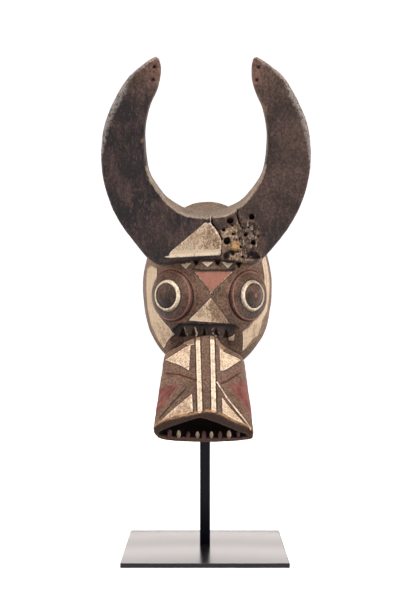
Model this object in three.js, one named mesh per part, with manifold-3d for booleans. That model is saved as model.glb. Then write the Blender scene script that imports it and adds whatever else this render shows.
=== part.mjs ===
// A carved wooden buffalo mask of the Bwa people, shown on its steel stand.
// The mask is one block of wood: a hollow egg-shaped hood that is open behind and below, a snout with an
// open mouth, two bulging ringed eyes, and a thick crescent of horns that leans forward over the brow.
// The stand is a square steel bar, fixed upright on a flat steel plate, that carries the crown from inside.
// Millimetres, +Z up, the face looks along -Y. The origin is the middle of the plate's underside.

import * as THREE from "three";
import { mergeVertices } from "three/addons/utils/BufferGeometryUtils.js";
import Module from "manifold-3d";

const wasm = await Module();
wasm.setup();

// Stand
const plateSize = new THREE.Vector3(280, 200, 8);
const barSide = 18;
const barCentreY = 16;
const barTop = 595.3;

// Hood: the outside and the hollow are eggs round one centre, with their own reach each way
const hoodCentre = new THREE.Vector3(4.5, 45, 466);
const hoodReach = { side: 117, front: 132, back: 130, up: 154, down: 184 };
const hollowReach = { side: 104.5, front: 111, back: 118, up: 140, down: 168 };
const rimLine = [
  [-42, 286],
  [-12, 340],
  [34, 400],
  [88, 464],
  [132, 524],
  [156, 590],
];

// Horn crescent: half outlines from the middle of the brow to the tip, as [x, z] on the front plane
const hornCentreX = 1.5;
const hornLean = THREE.MathUtils.degToRad(14);
const hornPlane = { y: -95, z: 512 };
const hornOuter = [
  [0, 509],
  [48, 505],
  [80, 499],
  [110, 525],
  [149.5, 582],
  [168.5, 650],
  [162, 721],
  [129, 783],
  [99, 810],
  [79, 822],
];
const hornInner = [
  [0, 576.5],
  [31, 580],
  [53, 592],
  [71, 609],
  [92, 644],
  [99, 693],
  [92.5, 740],
  [76.5, 776],
  [71.5, 804],
  [74, 819],
];
const hornThickness = [50, 50, 49, 47, 45, 42, 38, 31, 24, 15];
const hornInnerFlare = [7, 6, 4, 2, 0, 0, 0, 0, 0, 0];
const hornEdgeRound = 6;

// Horn root: the swelling behind the crescent that ties it to the hood
const hornRoot = { centre: [3, -31, 532], reach: [91, 57, 60] };

// Snout: sections parallel to the mouth, strung along the ridge from its root to the lip. Each outline
// runs from the ridge down the right, under the jaw and up the left, as [x, depth below the ridge].
const ridgeRoot = new THREE.Vector3(0, -80, 384.5);
const ridgeLip = new THREE.Vector3(0, -197.7, 271.7);
const mouthTilt = THREE.MathUtils.degToRad(30);
const snoutRootOutline = [
  [0, 0],
  [11, 1],
  [19, 4.5],
  [25, 14],
  [31, 22],
  [45, 31],
  [60, 41],
  [67, 54],
  [68, 74],
  [58, 90],
  [0, 96],
  [-60, 90],
  [-70, 74],
  [-69.5, 49],
  [-66, 37],
  [-50, 26],
  [-34, 15],
  [-21, 7.5],
  [-10, 3],
];
const snoutLipOutline = [
  [0, 1],
  [12, 2],
  [20, 4.5],
  [28, 8],
  [37, 15],
  [49, 22.5],
  [62, 29],
  [73, 39],
  [73.5, 48],
  [66, 58],
  [0, 62],
  [-62, 57],
  [-75, 49],
  [-78, 40],
  [-77, 31],
  [-67, 22.5],
  [-50, 14.5],
  [-30, 9.5],
  [-12, 4.5],
];
const mouthRootOutline = [
  [0, 28],
  [12, 30],
  [24, 38],
  [40, 48],
  [52, 58],
  [50, 76],
  [0, 80],
  [-50, 76],
  [-56, 58],
  [-44, 46],
  [-30, 36],
  [-15, 30],
];
const mouthLipOutline = [
  [-5, 14],
  [14, 22],
  [31, 31],
  [49, 40],
  [62, 46],
  [56, 50],
  [0, 51],
  [-60, 47],
  [-69, 41.5],
  [-57, 34],
  [-40, 26.5],
  [-22, 19],
];
const neckLength = 52;
const neckSink = 10;
const lipRound = 3;

// Eyes: turned bosses set into the cheeks, each with a raised ring round a domed pupil
const eyes = [
  { x: -59, turn: THREE.MathUtils.degToRad(-35), ringRise: 15.5 },
  { x: 78, turn: THREE.MathUtils.degToRad(42), ringRise: 12 },
];
const eyeHeight = 449;
const eyeRadius = 43;
const eyeSink = 3.5;
const ringRadius = 25;
const ringWall = 6;
const pupilRadius = 20.5;
const pupilRise = 7;

// Recess between the face and the snout, with its row of notches, and the row under the horns
const recessOutline = [
  [-62, 352],
  [62, 350],
  [64, 388],
  [50, 400],
  [-42, 402],
  [-54, 392],
];
const recessDepth = 11;
const nostrilRow = [
  [-37, 387.5, 12, 16],
  [-19, 387.5, 9, 13],
  [-1, 388, 8, 12],
  [18, 387.5, 9, 13],
  [35, 384, 10, 14],
];
const nostrilDepth = 6;
const browRow = [
  [-15, 503],
  [21, 503.5],
  [56, 500],
];
const browNotch = { width: 11, height: 10, depth: 6 };

// Teeth along the lower lip
const toothPlaces = [-55, -41, -26, -11.5, -1.5, 10, 23.5, 37.5, 52];
const toothReach = { across: 4.3, through: 4.5, up: 9 };
const toothDepth = 49.5;

// The jaw is carved in one with the rest. It is a solid of its own so that the collision pieces can leave the
// sloping mouth open. Its joint runs above the teeth, at these depths at the root and at the lip.
const jawJoint = { root: 46, lip: 36, gap: 0.3 };

// Holes: the pairs bored straight back at the horn tips, and the largest insect-eaten ones on the brow
const tipHoles = [
  [-79, 806],
  [-81.5, 787],
  [83, 806],
  [81.5, 787],
];
const tipHoleRadius = 2.2;
const eatenHoles = [
  [41, 570, 5.5],
  [76, 576, 4.8],
  [36, 538, 6.5],
  [80, 535, 4.5],
];
const eatenDepth = 24;

// Slivers that the cuts leave are merged when they are smaller than this
const smallestEdge = 0.01;

// A closed geometry as a solid
function solidOf(geometry) {
  const bare = geometry.clone();
  bare.deleteAttribute("normal");
  bare.deleteAttribute("uv");
  const merged = mergeVertices(bare, 1e-4);
  return new wasm.Manifold(
    new wasm.Mesh({
      numProp: 3,
      vertProperties: new Float32Array(merged.attributes.position.array),
      triVerts: new Uint32Array(merged.index.array),
    }),
  );
}

// A solid as a flat-shaded geometry
function geometryOf(solid) {
  const mesh = solid.getMesh();
  const geometry = new THREE.BufferGeometry();
  geometry.setAttribute(
    "position",
    new THREE.BufferAttribute(new Float32Array(mesh.vertProperties), 3),
  );
  geometry.setIndex(new THREE.BufferAttribute(new Uint32Array(mesh.triVerts), 1));
  const flat = geometry.toNonIndexed();
  flat.computeVertexNormals();
  return flat;
}

// A closed tube through rings of equally many points, with a fan over each end
function loft(rings) {
  const count = rings[0].length;
  const positions = [];
  const index = [];
  for (const ring of rings) {
    for (const point of ring) positions.push(point.x, point.y, point.z);
  }
  for (let r = 0; r + 1 < rings.length; r++) {
    for (let i = 0; i < count; i++) {
      const j = (i + 1) % count;
      const a = r * count + i;
      const b = r * count + j;
      index.push(a, b, b + count, a, b + count, a + count);
    }
  }
  for (const [ring, flip] of [
    [0, true],
    [rings.length - 1, false],
  ]) {
    const middle = new THREE.Vector3();
    for (const point of rings[ring]) middle.addScaledVector(point, 1 / count);
    const centre = positions.length / 3;
    positions.push(middle.x, middle.y, middle.z);
    for (let i = 0; i < count; i++) {
      const a = ring * count + i;
      const b = ring * count + ((i + 1) % count);
      if (flip) index.push(centre, b, a);
      else index.push(centre, a, b);
    }
  }
  const geometry = new THREE.BufferGeometry();
  geometry.setAttribute("position", new THREE.Float32BufferAttribute(positions, 3));
  geometry.setIndex(index);
  const solid = solidOf(geometry);
  if (solid.volume() > 0) return solid;
  for (let i = 0; i < index.length; i += 3) {
    [index[i + 1], index[i + 2]] = [index[i + 2], index[i + 1]];
  }
  geometry.setIndex(index);
  return solidOf(geometry);
}

// An egg round the hood's centre: a sphere whose reach differs each way
function egg(reach, around, down) {
  const geometry = new THREE.SphereGeometry(1, around, down).rotateX(Math.PI / 2);
  const position = geometry.attributes.position;
  for (let i = 0; i < position.count; i++) {
    const x = position.getX(i);
    const y = position.getY(i);
    const z = position.getZ(i);
    position.setXYZ(
      i,
      hoodCentre.x + x * reach.side,
      hoodCentre.y + y * (y < 0 ? reach.front : reach.back),
      hoodCentre.z + z * (z > 0 ? reach.up : reach.down),
    );
  }
  return solidOf(geometry);
}

// The reach of an egg drawn in all round
function drawnIn(reach, by) {
  return Object.fromEntries(Object.entries(reach).map(([way, length]) => [way, length - by]));
}

// The front of the hood at x, z
function hoodFront(x, z) {
  const up = (z - hoodCentre.z) / (z > hoodCentre.z ? hoodReach.up : hoodReach.down);
  const across = (x - hoodCentre.x) / hoodReach.side;
  return hoodCentre.y - hoodReach.front * Math.sqrt(Math.max(0, 1 - up * up - across * across));
}

// A smooth run of numbers or points between the values that a row of stations has
function along(values, t) {
  const points = values.map((v) =>
    Array.isArray(v) ? new THREE.Vector3(v[0], v[1], 0) : new THREE.Vector3(v, 0, 0),
  );
  return new THREE.CatmullRomCurve3(points, false, "catmullrom", 0.5).getPoint(t);
}

// A prism whose outline is given on a plane facing -Y, cut from y = from back to y = to
function prism(outline, from, to) {
  const shape = new THREE.Shape(outline.map(([x, z]) => new THREE.Vector2(x, z)));
  const geometry = new THREE.ExtrudeGeometry(shape, { depth: to - from, bevelEnabled: false });
  geometry.rotateX(Math.PI / 2).translate(0, to, 0);
  return solidOf(geometry);
}

// Horn crescent: rounded slab sections from one tip to the other
function hornSection(t, side) {
  const outer = along(hornOuter, t);
  const inner = along(hornInner, t);
  const thickness = along(hornThickness, t).x;
  const flare = along(hornInnerFlare, t).x;
  const width = outer.distanceTo(inner);
  const round = Math.min(hornEdgeRound, width * 0.35, thickness * 0.35);
  const across = outer.clone().sub(inner).normalize();
  const soft = round * 0.3;
  const section = [
    [0, round],
    [soft, soft],
    [round, 0],
    [width / 2, 0],
    [width - round, 0],
    [width - soft, soft],
    [width, round],
    [width, thickness - round],
    [width - soft, thickness - soft],
    [width - round, thickness],
    [round - flare, thickness],
    [soft - flare, thickness - soft],
    [-flare, thickness - round],
  ];
  return section.map(([reach, depth]) => {
    const x = inner.x + across.x * reach;
    const z = inner.y + across.y * reach;
    const y = hornPlane.y - Math.tan(hornLean) * (z - hornPlane.z);
    return new THREE.Vector3(
      hornCentreX + side * x,
      y + Math.cos(hornLean) * depth,
      z + Math.sin(hornLean) * depth,
    );
  });
}

function hornCrescent() {
  const steps = 30;
  const rings = [];
  for (let i = steps; i > 0; i--) rings.push(hornSection(i / steps, -1));
  for (let i = 0; i <= steps; i++) rings.push(hornSection(i / steps, 1));
  return loft(rings);
}

// A straight hole bored into the front plane of the horns, sloping up towards the back by so much
function hornBore(x, z, radius, from, to, slope) {
  const y = hornPlane.y - Math.tan(hornLean) * (z - hornPlane.z);
  const geometry = new THREE.CylinderGeometry(radius, radius, to - from, 8);
  geometry.translate(0, (from + to) / 2, 0).rotateX(slope).translate(x, y, z);
  return solidOf(geometry);
}

// Snout: a point at x, depth of the section at t
function snoutPoint(t, x, depth) {
  const ridge = ridgeRoot.clone().lerp(ridgeLip, t);
  return new THREE.Vector3(
    ridge.x + x,
    ridge.y + depth * Math.sin(mouthTilt),
    ridge.z - depth * Math.cos(mouthTilt),
  );
}

// The section at t between two outlines
function snoutRing(t, rootOutline, lipOutline) {
  const mix = Math.min(t, 1);
  return rootOutline.map(([x, depth], i) => {
    const across = THREE.MathUtils.lerp(x, lipOutline[i][0], mix);
    return snoutPoint(t, across, THREE.MathUtils.lerp(depth, lipOutline[i][1], mix));
  });
}

// An outline drawn in all round by so much
function drawnInOutline(outline, by) {
  return outline.map(([x, depth]) => [x - Math.sign(x) * by * 0.7, depth + (depth < 45 ? by : -by / 2)]);
}

// The same outline with everything above the jaw sunk, most at the ridge, and the rest drawn in a little
function sunkOutline(outline, by) {
  return outline.map(([x, depth]) => [x * 0.985, depth < 75 ? depth + by * (1 - depth / 75) : depth - 0.8]);
}

function snoutOutside() {
  const rings = [0.03, 0.2, 0.4, 0.6, 0.8, 0.97].map((t) =>
    snoutRing(t, snoutRootOutline, snoutLipOutline),
  );
  rings.unshift(snoutRing(0, drawnInOutline(snoutRootOutline, 1.5), snoutLipOutline));
  rings.push(snoutRing(1, snoutRootOutline, drawnInOutline(snoutLipOutline, lipRound)));
  const neckOutline = sunkOutline(snoutRootOutline, neckSink);
  const neck = [0.1, 0, 0].map((t) => snoutRing(t, neckOutline, snoutLipOutline));
  for (const point of neck[2]) point.y += neckLength;
  return loft(rings).add(loft(neck));
}

function mouthHollow() {
  const rings = [1.12, 1, 0.5, 0, 0].map((t) => snoutRing(t, mouthRootOutline, mouthLipOutline));
  for (const point of rings[4]) point.y += neckLength;
  return loft(rings);
}

function tooth(x) {
  const base = snoutPoint(0.985, x, toothDepth - 0.0012 * x * x);
  const geometry = new THREE.SphereGeometry(1, 8, 8);
  geometry.scale(toothReach.across, toothReach.up, toothReach.through);
  geometry.rotateX(Math.PI / 2 + mouthTilt).translate(base.x, base.y, base.z);
  return solidOf(geometry);
}

// Everything of the snout below the jaw's joint, grown by so much past the joint
function jawBlock(grow) {
  const far = 1.15;
  const below = 130;
  const side = [
    snoutPoint(0, 0, jawJoint.root - grow),
    snoutPoint(far, 0, THREE.MathUtils.lerp(jawJoint.root, jawJoint.lip, far) - grow),
    snoutPoint(far, 0, below),
    snoutPoint(0, 0, below),
  ];
  side[0].y += grow;
  side[3].y += grow;
  return loft([-100, 100].map((x) => side.map((point) => point.clone().setX(x))));
}

// Eye boss: a turned disc with a swelling flank, a raised ring and a domed pupil
function eyeBoss({ x, turn, ringRise }) {
  const profile = [
    [0, -24],
    [eyeRadius - 4, -24],
    [eyeRadius, -6],
    [eyeRadius, 0],
    [eyeRadius - 1.5, 2],
    [eyeRadius - 7, (ringRise - ringWall) * 0.65],
    [ringRadius + 6, (ringRise - ringWall) * 0.93],
    [ringRadius + 1.5, ringRise - ringWall],
    [ringRadius, ringRise - 1],
    [ringRadius - 1.5, ringRise],
    [pupilRadius + 1, ringRise],
    [pupilRadius, ringRise - 1.5],
    [pupilRadius * 0.85, ringRise - 1.5 + pupilRise * 0.4],
    [pupilRadius * 0.6, ringRise - 1.5 + pupilRise * 0.78],
    [pupilRadius * 0.3, ringRise - 1.5 + pupilRise * 0.95],
    [0, ringRise - 1.5 + pupilRise],
  ].map(([r, h]) => new THREE.Vector2(r, h));
  const geometry = new THREE.LatheGeometry(profile, 32);
  geometry.rotateX(Math.PI).rotateZ(turn);
  geometry.translate(
    x - eyeSink * Math.sin(turn),
    hoodFront(x, eyeHeight) + eyeSink * Math.cos(turn),
    eyeHeight,
  );
  return solidOf(geometry);
}

// A triangular notch let into the hood from its front
function notch(x, z, width, height, depth, setBack) {
  const front = hoodFront(x, z) + setBack;
  const outline = [
    [x - width / 2, z - height / 2],
    [x + width / 2, z - height / 2],
    [x, z + height / 2],
  ];
  return prism(outline, front - 12, front + depth);
}

// The side view of what is cut away behind and below the rim, drawn right across the mask
function rimCut() {
  const rim = new THREE.SplineCurve(rimLine.map(([y, z]) => new THREE.Vector2(y, z)));
  const outline = rim.getPoints(16);
  const shape = new THREE.Shape([
    ...outline,
    new THREE.Vector2(160, 600),
    new THREE.Vector2(320, 600),
    new THREE.Vector2(320, 150),
    new THREE.Vector2(-60, 150),
    new THREE.Vector2(-34, 280),
  ]);
  const wide = 400;
  const geometry = new THREE.ExtrudeGeometry(shape, { depth: wide, bevelEnabled: false });
  geometry.translate(0, 0, -wide / 2);
  geometry.rotateX(Math.PI / 2).rotateZ(Math.PI / 2);
  return solidOf(geometry);
}

function carvedMask() {
  const hood = egg(hoodReach, 56, 34);
  const skin = egg(drawnIn(hoodReach, -5), 32, 20).subtract(egg(drawnIn(hoodReach, recessDepth), 32, 20));
  let mask = hood.subtract(skin.intersect(prism(recessOutline, -120, 0)));
  const root = new THREE.SphereGeometry(1, 28, 16);
  root.scale(...hornRoot.reach).translate(...hornRoot.centre);
  mask = mask.add(solidOf(root));
  for (const eye of eyes) mask = mask.add(eyeBoss(eye));
  mask = mask.add(snoutOutside()).add(hornCrescent());
  mask = mask.subtract(egg(hollowReach, 40, 24)).subtract(mouthHollow());
  mask = mask.subtract(rimCut());
  for (const x of toothPlaces) mask = mask.add(tooth(x));
  for (const [x, z, width, height] of nostrilRow) {
    mask = mask.subtract(notch(x, z, width, height, nostrilDepth, recessDepth));
  }
  for (const [x, z] of browRow) {
    mask = mask.subtract(notch(x, z, browNotch.width, -browNotch.height, browNotch.depth, 0));
  }
  for (const [x, z] of tipHoles) mask = mask.subtract(hornBore(x, z, tipHoleRadius, -20, 60, 0));
  for (const [x, z, radius] of eatenHoles) {
    mask = mask.subtract(hornBore(x, z, radius, -20, eatenDepth, hornLean));
  }
  return mask.simplify(smallestEdge);
}

const wood = new THREE.MeshStandardMaterial({
  color: 0x5a4438,
  roughness: 0.75,
  metalness: 0,
});
const steel = new THREE.MeshStandardMaterial({
  color: 0x2a2a2e,
  roughness: 0.35,
  metalness: 0.9,
});

const carved = carvedMask();
const mask = new THREE.Mesh(geometryOf(carved.subtract(jawBlock(jawJoint.gap))), wood);
mask.name = "mask";

const jaw = new THREE.Mesh(geometryOf(carved.intersect(jawBlock(0))), wood.clone());
jaw.name = "lower_jaw";

const plate = new THREE.Mesh(new THREE.BoxGeometry(...plateSize.toArray()), steel);
plate.name = "base_plate";
plate.position.z = plateSize.z / 2;

const barLength = barTop - plateSize.z;
const bar = new THREE.Mesh(new THREE.BoxGeometry(barSide, barSide, barLength), steel.clone());
bar.name = "upright_bar";
bar.position.set(0, barCentreY, plateSize.z + barLength / 2);

const object = new THREE.Group();
object.add(mask, jaw, plate, bar);

export default object;
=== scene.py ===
import math

import bmesh
import bpy
import numpy as np
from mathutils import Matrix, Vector


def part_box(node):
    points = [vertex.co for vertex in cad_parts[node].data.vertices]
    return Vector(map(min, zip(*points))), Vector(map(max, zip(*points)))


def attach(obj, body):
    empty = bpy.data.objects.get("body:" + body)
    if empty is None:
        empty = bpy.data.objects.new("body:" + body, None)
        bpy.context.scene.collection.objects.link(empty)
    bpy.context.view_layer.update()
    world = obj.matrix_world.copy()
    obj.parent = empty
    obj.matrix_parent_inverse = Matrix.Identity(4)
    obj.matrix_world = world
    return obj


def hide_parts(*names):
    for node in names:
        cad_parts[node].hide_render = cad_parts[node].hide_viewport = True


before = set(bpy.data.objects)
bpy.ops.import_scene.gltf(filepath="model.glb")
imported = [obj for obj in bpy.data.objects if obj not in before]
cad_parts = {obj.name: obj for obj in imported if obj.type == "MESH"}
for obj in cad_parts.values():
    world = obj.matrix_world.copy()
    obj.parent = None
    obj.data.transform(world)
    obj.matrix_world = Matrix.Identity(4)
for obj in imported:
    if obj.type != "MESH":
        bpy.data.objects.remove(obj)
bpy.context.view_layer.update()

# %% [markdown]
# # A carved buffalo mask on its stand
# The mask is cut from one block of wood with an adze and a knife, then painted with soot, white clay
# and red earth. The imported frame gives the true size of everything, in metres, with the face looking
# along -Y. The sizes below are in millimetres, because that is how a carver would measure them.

MM = 0.001
cell = 1.7

# %% [markdown]
# ## Working with distances
# A carving is easier to describe as a field of distances than as faces: every point in space knows how
# far it is from the wood, and points inside the wood are negative. Adding wood takes the smaller of two
# distances and cutting takes the larger. A soft minimum leaves a fillet, as a knife does in a corner.

# %% Soft joins
def soft_min(a, b, k):
    """The smaller of two distances, with a fillet where they differ by less than k."""
    near = np.maximum(k - np.abs(a - b), 0) / k
    return np.minimum(a, b) - near * near * k * 0.25


def soft_max(a, b, k):
    """The larger of two distances, with its edge rounded in the same way."""
    return -soft_min(-a, -b, k)


print("in a corner 10 mm from both faces, a fillet over 4 mm gives", float(soft_min(10.0, 10.0, 4)), "mm")

# %% [markdown]
# The block is a grid of such distances. A shape is added or cut only in the window that it can reach,
# which saves most of the work. The block can also be blurred, and sampled at any point, for the paint.

# %% The block of distances
far_off = 40.0


class Block:
    """A block of space in millimetres that holds the distance to the wood at each corner of a grid."""

    def __init__(self, low, high, step):
        self.step = step
        self.axes = [np.arange(a, b + step, step, dtype=np.float32) for a, b in zip(low, high)]
        self.field = np.full([len(axis) for axis in self.axes], far_off, np.float32)

    def window(self, low, high):
        """The part of the grid between two corners, and its places along x, y and z."""
        part = tuple(
            slice(*np.searchsorted(axis, (a, b))) for axis, a, b in zip(self.axes, low, high)
        )
        x, y, z = (axis[s] for axis, s in zip(self.axes, part))
        return part, x[:, None, None], y[None, :, None], z[None, None, :]

    def add(self, shape, low, high, soft=2.0):
        part, x, y, z = self.window(low, high)
        self.field[part] = soft_min(self.field[part], shape(x, y, z), soft)

    def cut(self, shape, low, high, soft=2.0):
        part, x, y, z = self.window(low, high)
        self.field[part] = soft_max(self.field[part], -shape(x, y, z), soft)

    def blurred(self, reach):
        """The field's mean over a cube that reaches so many cells each way."""
        wide = 2 * reach + 1
        field = self.field
        for axis in range(3):
            total = np.cumsum(np.moveaxis(field, axis, 0), 0, dtype=float)
            mean = (total[wide:] - total[:-wide]) / wide
            ends = [np.repeat(mean[:1], reach + 1, 0), np.repeat(mean[-1:], reach, 0)]
            field = np.moveaxis(np.concatenate([ends[0], mean, ends[1]]), 0, axis)
        return field.astype(np.float32)

    def sampled(self, field, points):
        """Values of a field at points, blended between the eight grid corners round each."""
        place = (points - [axis[0] for axis in self.axes]) / self.step
        base = np.clip(place.astype(int), 0, np.array(field.shape) - 2)
        f = place - base
        value = 0
        for corner in np.ndindex(2, 2, 2):
            weight = np.where(corner, f, 1 - f).prod(1)
            value = value + weight * field[tuple((base + corner).T)]
        return value


print("the grid's step, mm:", cell)

# %% [markdown]
# ## Outlines
# Flat shapes, such as the horns' crescent or a section of the snout, are drawn as a few points, and a
# smooth curve runs through them. The distance from any place to the curve is that to its nearest side.

# %% Curves and the distance to them
def through(points, count, closed=False):
    """A smooth run of count points through the given ones."""
    p = np.array(points, float)
    if p.ndim == 1:
        p = p[:, None]
    if closed:
        p = np.vstack([p[-1], p, p[0], p[1]])
    else:
        p = np.vstack([2 * p[0] - p[1], p, 2 * p[-1] - p[-2]])
    spans = len(p) - 3
    at = np.linspace(0, spans, count, endpoint=not closed)
    i = np.minimum(at.astype(int), spans - 1)
    f = (at - i)[:, None]
    a, b, c, d = p[i], p[i + 1], p[i + 2], p[i + 3]
    out = b + 0.5 * f * (c - a + f * (2 * a - 5 * b + 4 * c - d + f * (3 * (b - c) + d - a)))
    return out[:, 0] if out.shape[1] == 1 else out


def to_outline(outline, u, v):
    """Distance from points to a closed outline, negative inside it."""
    nearest = np.full(np.broadcast(u, v).shape, 1e9)
    inside = np.zeros(nearest.shape, bool)
    for (ax, ay), (bx, by) in zip(outline, np.roll(outline, -1, 0)):
        dx, dy = bx - ax, by - ay
        if dx == 0 and dy == 0:
            continue
        h = np.clip(((u - ax) * dx + (v - ay) * dy) / (dx * dx + dy * dy), 0, 1)
        nearest = np.minimum(nearest, (u - ax - h * dx) ** 2 + (v - ay - h * dy) ** 2)
        crosses = (ay > v) != (by > v)
        inside ^= crosses & (u < ax + (v - ay) * dx / (dy if dy else 1e-9))
    return np.where(inside, -1, 1) * np.sqrt(nearest)


def to_line(line, u, v):
    """Distance from points to an open line."""
    nearest = np.full(np.broadcast(u, v).shape, 1e9)
    for (ax, ay), (bx, by) in zip(line[:-1], line[1:]):
        dx, dy = bx - ax, by - ay
        h = np.clip(((u - ax) * dx + (v - ay) * dy) / (dx * dx + dy * dy), 0, 1)
        nearest = np.minimum(nearest, (u - ax - h * dx) ** 2 + (v - ay - h * dy) ** 2)
    return np.sqrt(nearest)


square = np.array([[0, 0], [4, 0], [4, 4], [0, 4]])
print("1 mm inside a square:", float(to_outline(square, 2.0, 1.0)))

# %% [markdown]
# Such a distance is slow to work out for millions of places. A map works it out once, on a flat grid, and
# then looks it up. It can hold several layers, for a shape that changes along its length.

# %% Maps of distances
class Map:
    """Values over a flat grid, one layer for each level, looked up with straight blends between them."""

    def __init__(self, low, high, layers, step=1.0):
        self.low, self.step = low, step
        u, v = np.meshgrid(
            np.arange(low[0], high[0] + step, step), np.arange(low[1], high[1] + step, step), indexing="ij"
        )
        self.layers = np.stack([layer(u, v) for layer in layers]).astype(np.float32)

    def flat(self, layer, u, v):
        """The values of one layer at the places u, v."""
        count_u, count_v = self.layers.shape[1:]
        gu = np.clip((u - self.low[0]) / self.step, 0, count_u - 1.001)
        gv = np.clip((v - self.low[1]) / self.step, 0, count_v - 1.001)
        i, j = gu.astype(int), gv.astype(int)
        fu, fv = gu - i, gv - j
        values = self.layers
        near = values[layer, i, j] * (1 - fv) + values[layer, i, j + 1] * fv
        far = values[layer, i + 1, j] * (1 - fv) + values[layer, i + 1, j + 1] * fv
        return near * (1 - fu) + far * fu

    def at(self, level, u, v):
        """The values between two layers. The level runs from 0, at the first, to 1, at the last."""
        place = np.clip(level, 0, 1) * (len(self.layers) - 1.001)
        layer = place.astype(int)
        f = place - layer
        return self.flat(layer, u, v) * (1 - f) + self.flat(layer + 1, u, v) * f


distance_to_middle = Map((-5, -5), (5, 5), [lambda u, v: np.hypot(u, v)])
print("3 mm from the middle, the map says", float(distance_to_middle.flat(0, 3.0, np.array(0.0)).round(3)))

# %% [markdown]
# Worn wood is never quite even. This noise gives each point in space a value between -1 and 1 from a
# seeded lattice of random numbers, so it comes out the same each time.

# %% Seeded noise
lattice_size = 32
lattice_shift = 64


def noise(x, y, z, size, seed):
    lattice = np.random.default_rng(seed).random((lattice_size,) * 3).astype(np.float32) * 2 - 1
    value = 0
    cells, blends = [], []
    for axis in (x, y, z):
        g = axis / size + lattice_shift
        i = np.floor(g).astype(int)
        f = g - i
        cells.append(i)
        blends.append(f * f * (3 - 2 * f))
    for a in (0, 1):
        for b in (0, 1):
            for c in (0, 1):
                weight = 1
                for blend, side in zip(blends, (a, b, c)):
                    weight = weight * (blend if side else 1 - blend)
                i, j, k = ((n + side) % lattice_size for n, side in zip(cells, (a, b, c)))
                value = value + weight * lattice[i, j, k]
    return value


print("noise every 3 mm:", noise(np.arange(5) * 3.0, 0.0, 0.0, 9, 31).round(2))

# %% [markdown]
# ## The hood
# The hood is a hollow egg, longer below than above, and it hugs a head from the front. Its wall is
# thickest at the face, where the carving needs depth. Behind and below, a slanting cut leaves the rim.

# %% Hood and hollow
hood_centre = (4.5, 45, 466)
hood_reach = dict(side=117, front=132, back=130, up=154, down=184)
hollow_reach = dict(side=104.5, front=111, back=118, up=140, down=168)
rim_y = [-60, -42, -12, 34, 88, 132, 156, 168, 260]
rim_z = [150, 286, 340, 400, 464, 524, 590, 620, 834]
rim_slant = 0.8


def egg(x, y, z, reach):
    """Near enough the distance to an egg that reaches differently far to each side."""
    px, py, pz = x - hood_centre[0], y - hood_centre[1], z - hood_centre[2]
    rx = reach["side"]
    ry = np.where(py < 0, reach["front"], reach["back"])
    rz = np.where(pz > 0, reach["up"], reach["down"])
    k0 = np.sqrt((px / rx) ** 2 + (py / ry) ** 2 + (pz / rz) ** 2)
    k1 = np.sqrt((px / rx**2) ** 2 + (py / ry**2) ** 2 + (pz / rz**2) ** 2)
    return k0 * (k0 - 1) / np.maximum(k1, 1e-6)


def hood(x, y, z):
    return egg(x, y, z, hood_reach)


def hollow(x, y, z):
    return egg(x, y, z, hollow_reach)


def behind_rim(x, y, z):
    return (np.interp(z, rim_z, rim_y) - y) * rim_slant + 0 * x


def hood_front(x, z):
    """The y of the hood's face at one place."""
    up = (z - hood_centre[2]) / (hood_reach["up"] if z > hood_centre[2] else hood_reach["down"])
    across = (x - hood_centre[0]) / hood_reach["side"]
    return hood_centre[1] - hood_reach["front"] * math.sqrt(1 - up * up - across * across)


print("wall, mm:", {side: hood_reach[side] - hollow_reach[side] for side in ("side", "front", "back")})

# %% [markdown]
# ## The horns
# The horns are a thick crescent, flat in front, that leans 14 degrees forward over the brow. Its outline
# is drawn on the front plane, from the middle of the brow to the right tip, and the left side mirrors it.
# It is 50 mm thick at the brow and thins to 15 mm at the tips, and it widens behind at the brow.

# %% Outline of the horns
horn_x = 1.5
horn_outer = [[0, 509], [48, 505], [80, 499], [110, 525], [149.5, 582], [168.5, 650], [162, 721],
              [129, 783], [99, 810], [79, 822]]
horn_inner = [[0, 576.5], [31, 580], [53, 592], [71, 609], [92, 644], [99, 693], [92.5, 740],
              [76.5, 776], [71.5, 804], [74, 819]]
horn_thickness = [50, 50, 49, 47, 45, 42, 38, 31, 24, 15]
horn_flare = [7, 6, 4, 2, 0, 0, 0, 0, 0, 0]
curve_points = 80

outer = through(horn_outer, curve_points)
inner = through(horn_inner, curve_points)
thickness = through(horn_thickness, curve_points)
across = outer - inner
across /= np.linalg.norm(across, axis=1)[:, None]
flared = inner - across * through(horn_flare, curve_points)[:, None]
middle = (outer + inner) / 2


def both_sides(outside, inside):
    """The whole crescent's outline, from the right half's two edges."""
    left = [-1, 1]
    return np.vstack([outside, inside[::-1], inside * left, (outside * left)[::-1]])


def nearest_thickness(u, v):
    gap = (np.abs(u)[..., None] - middle[:, 0]) ** 2 + (v[..., None] - middle[:, 1]) ** 2
    return thickness[gap.argmin(-1)]


crescent = Map(
    (-190, 480), (190, 845),
    [
        lambda u, v: to_outline(both_sides(outer, inner), u, v),
        lambda u, v: to_outline(both_sides(outer, flared), u, v),
        nearest_thickness,
    ],
    step=1.5,
)
print("horn map", crescent.layers.shape)

# %% [markdown]
# The crescent becomes a thick plate with rounded edges on a leaning plane. A swelling behind the brow ties
# it to the hood.

# %% Horns and their root
lean = math.radians(14)
horn_y, horn_z = -95, 512
horn_round = 5.5
root_centre, root_reach = (3, -31, 532), (91, 57, 60)


def horn_plane(y, z):
    """Depth behind the horns' front plane, and the height on that plane."""
    depth = math.cos(lean) * (y - horn_y) + math.sin(lean) * (z - horn_z)
    return depth, z - math.sin(lean) * depth


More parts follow.
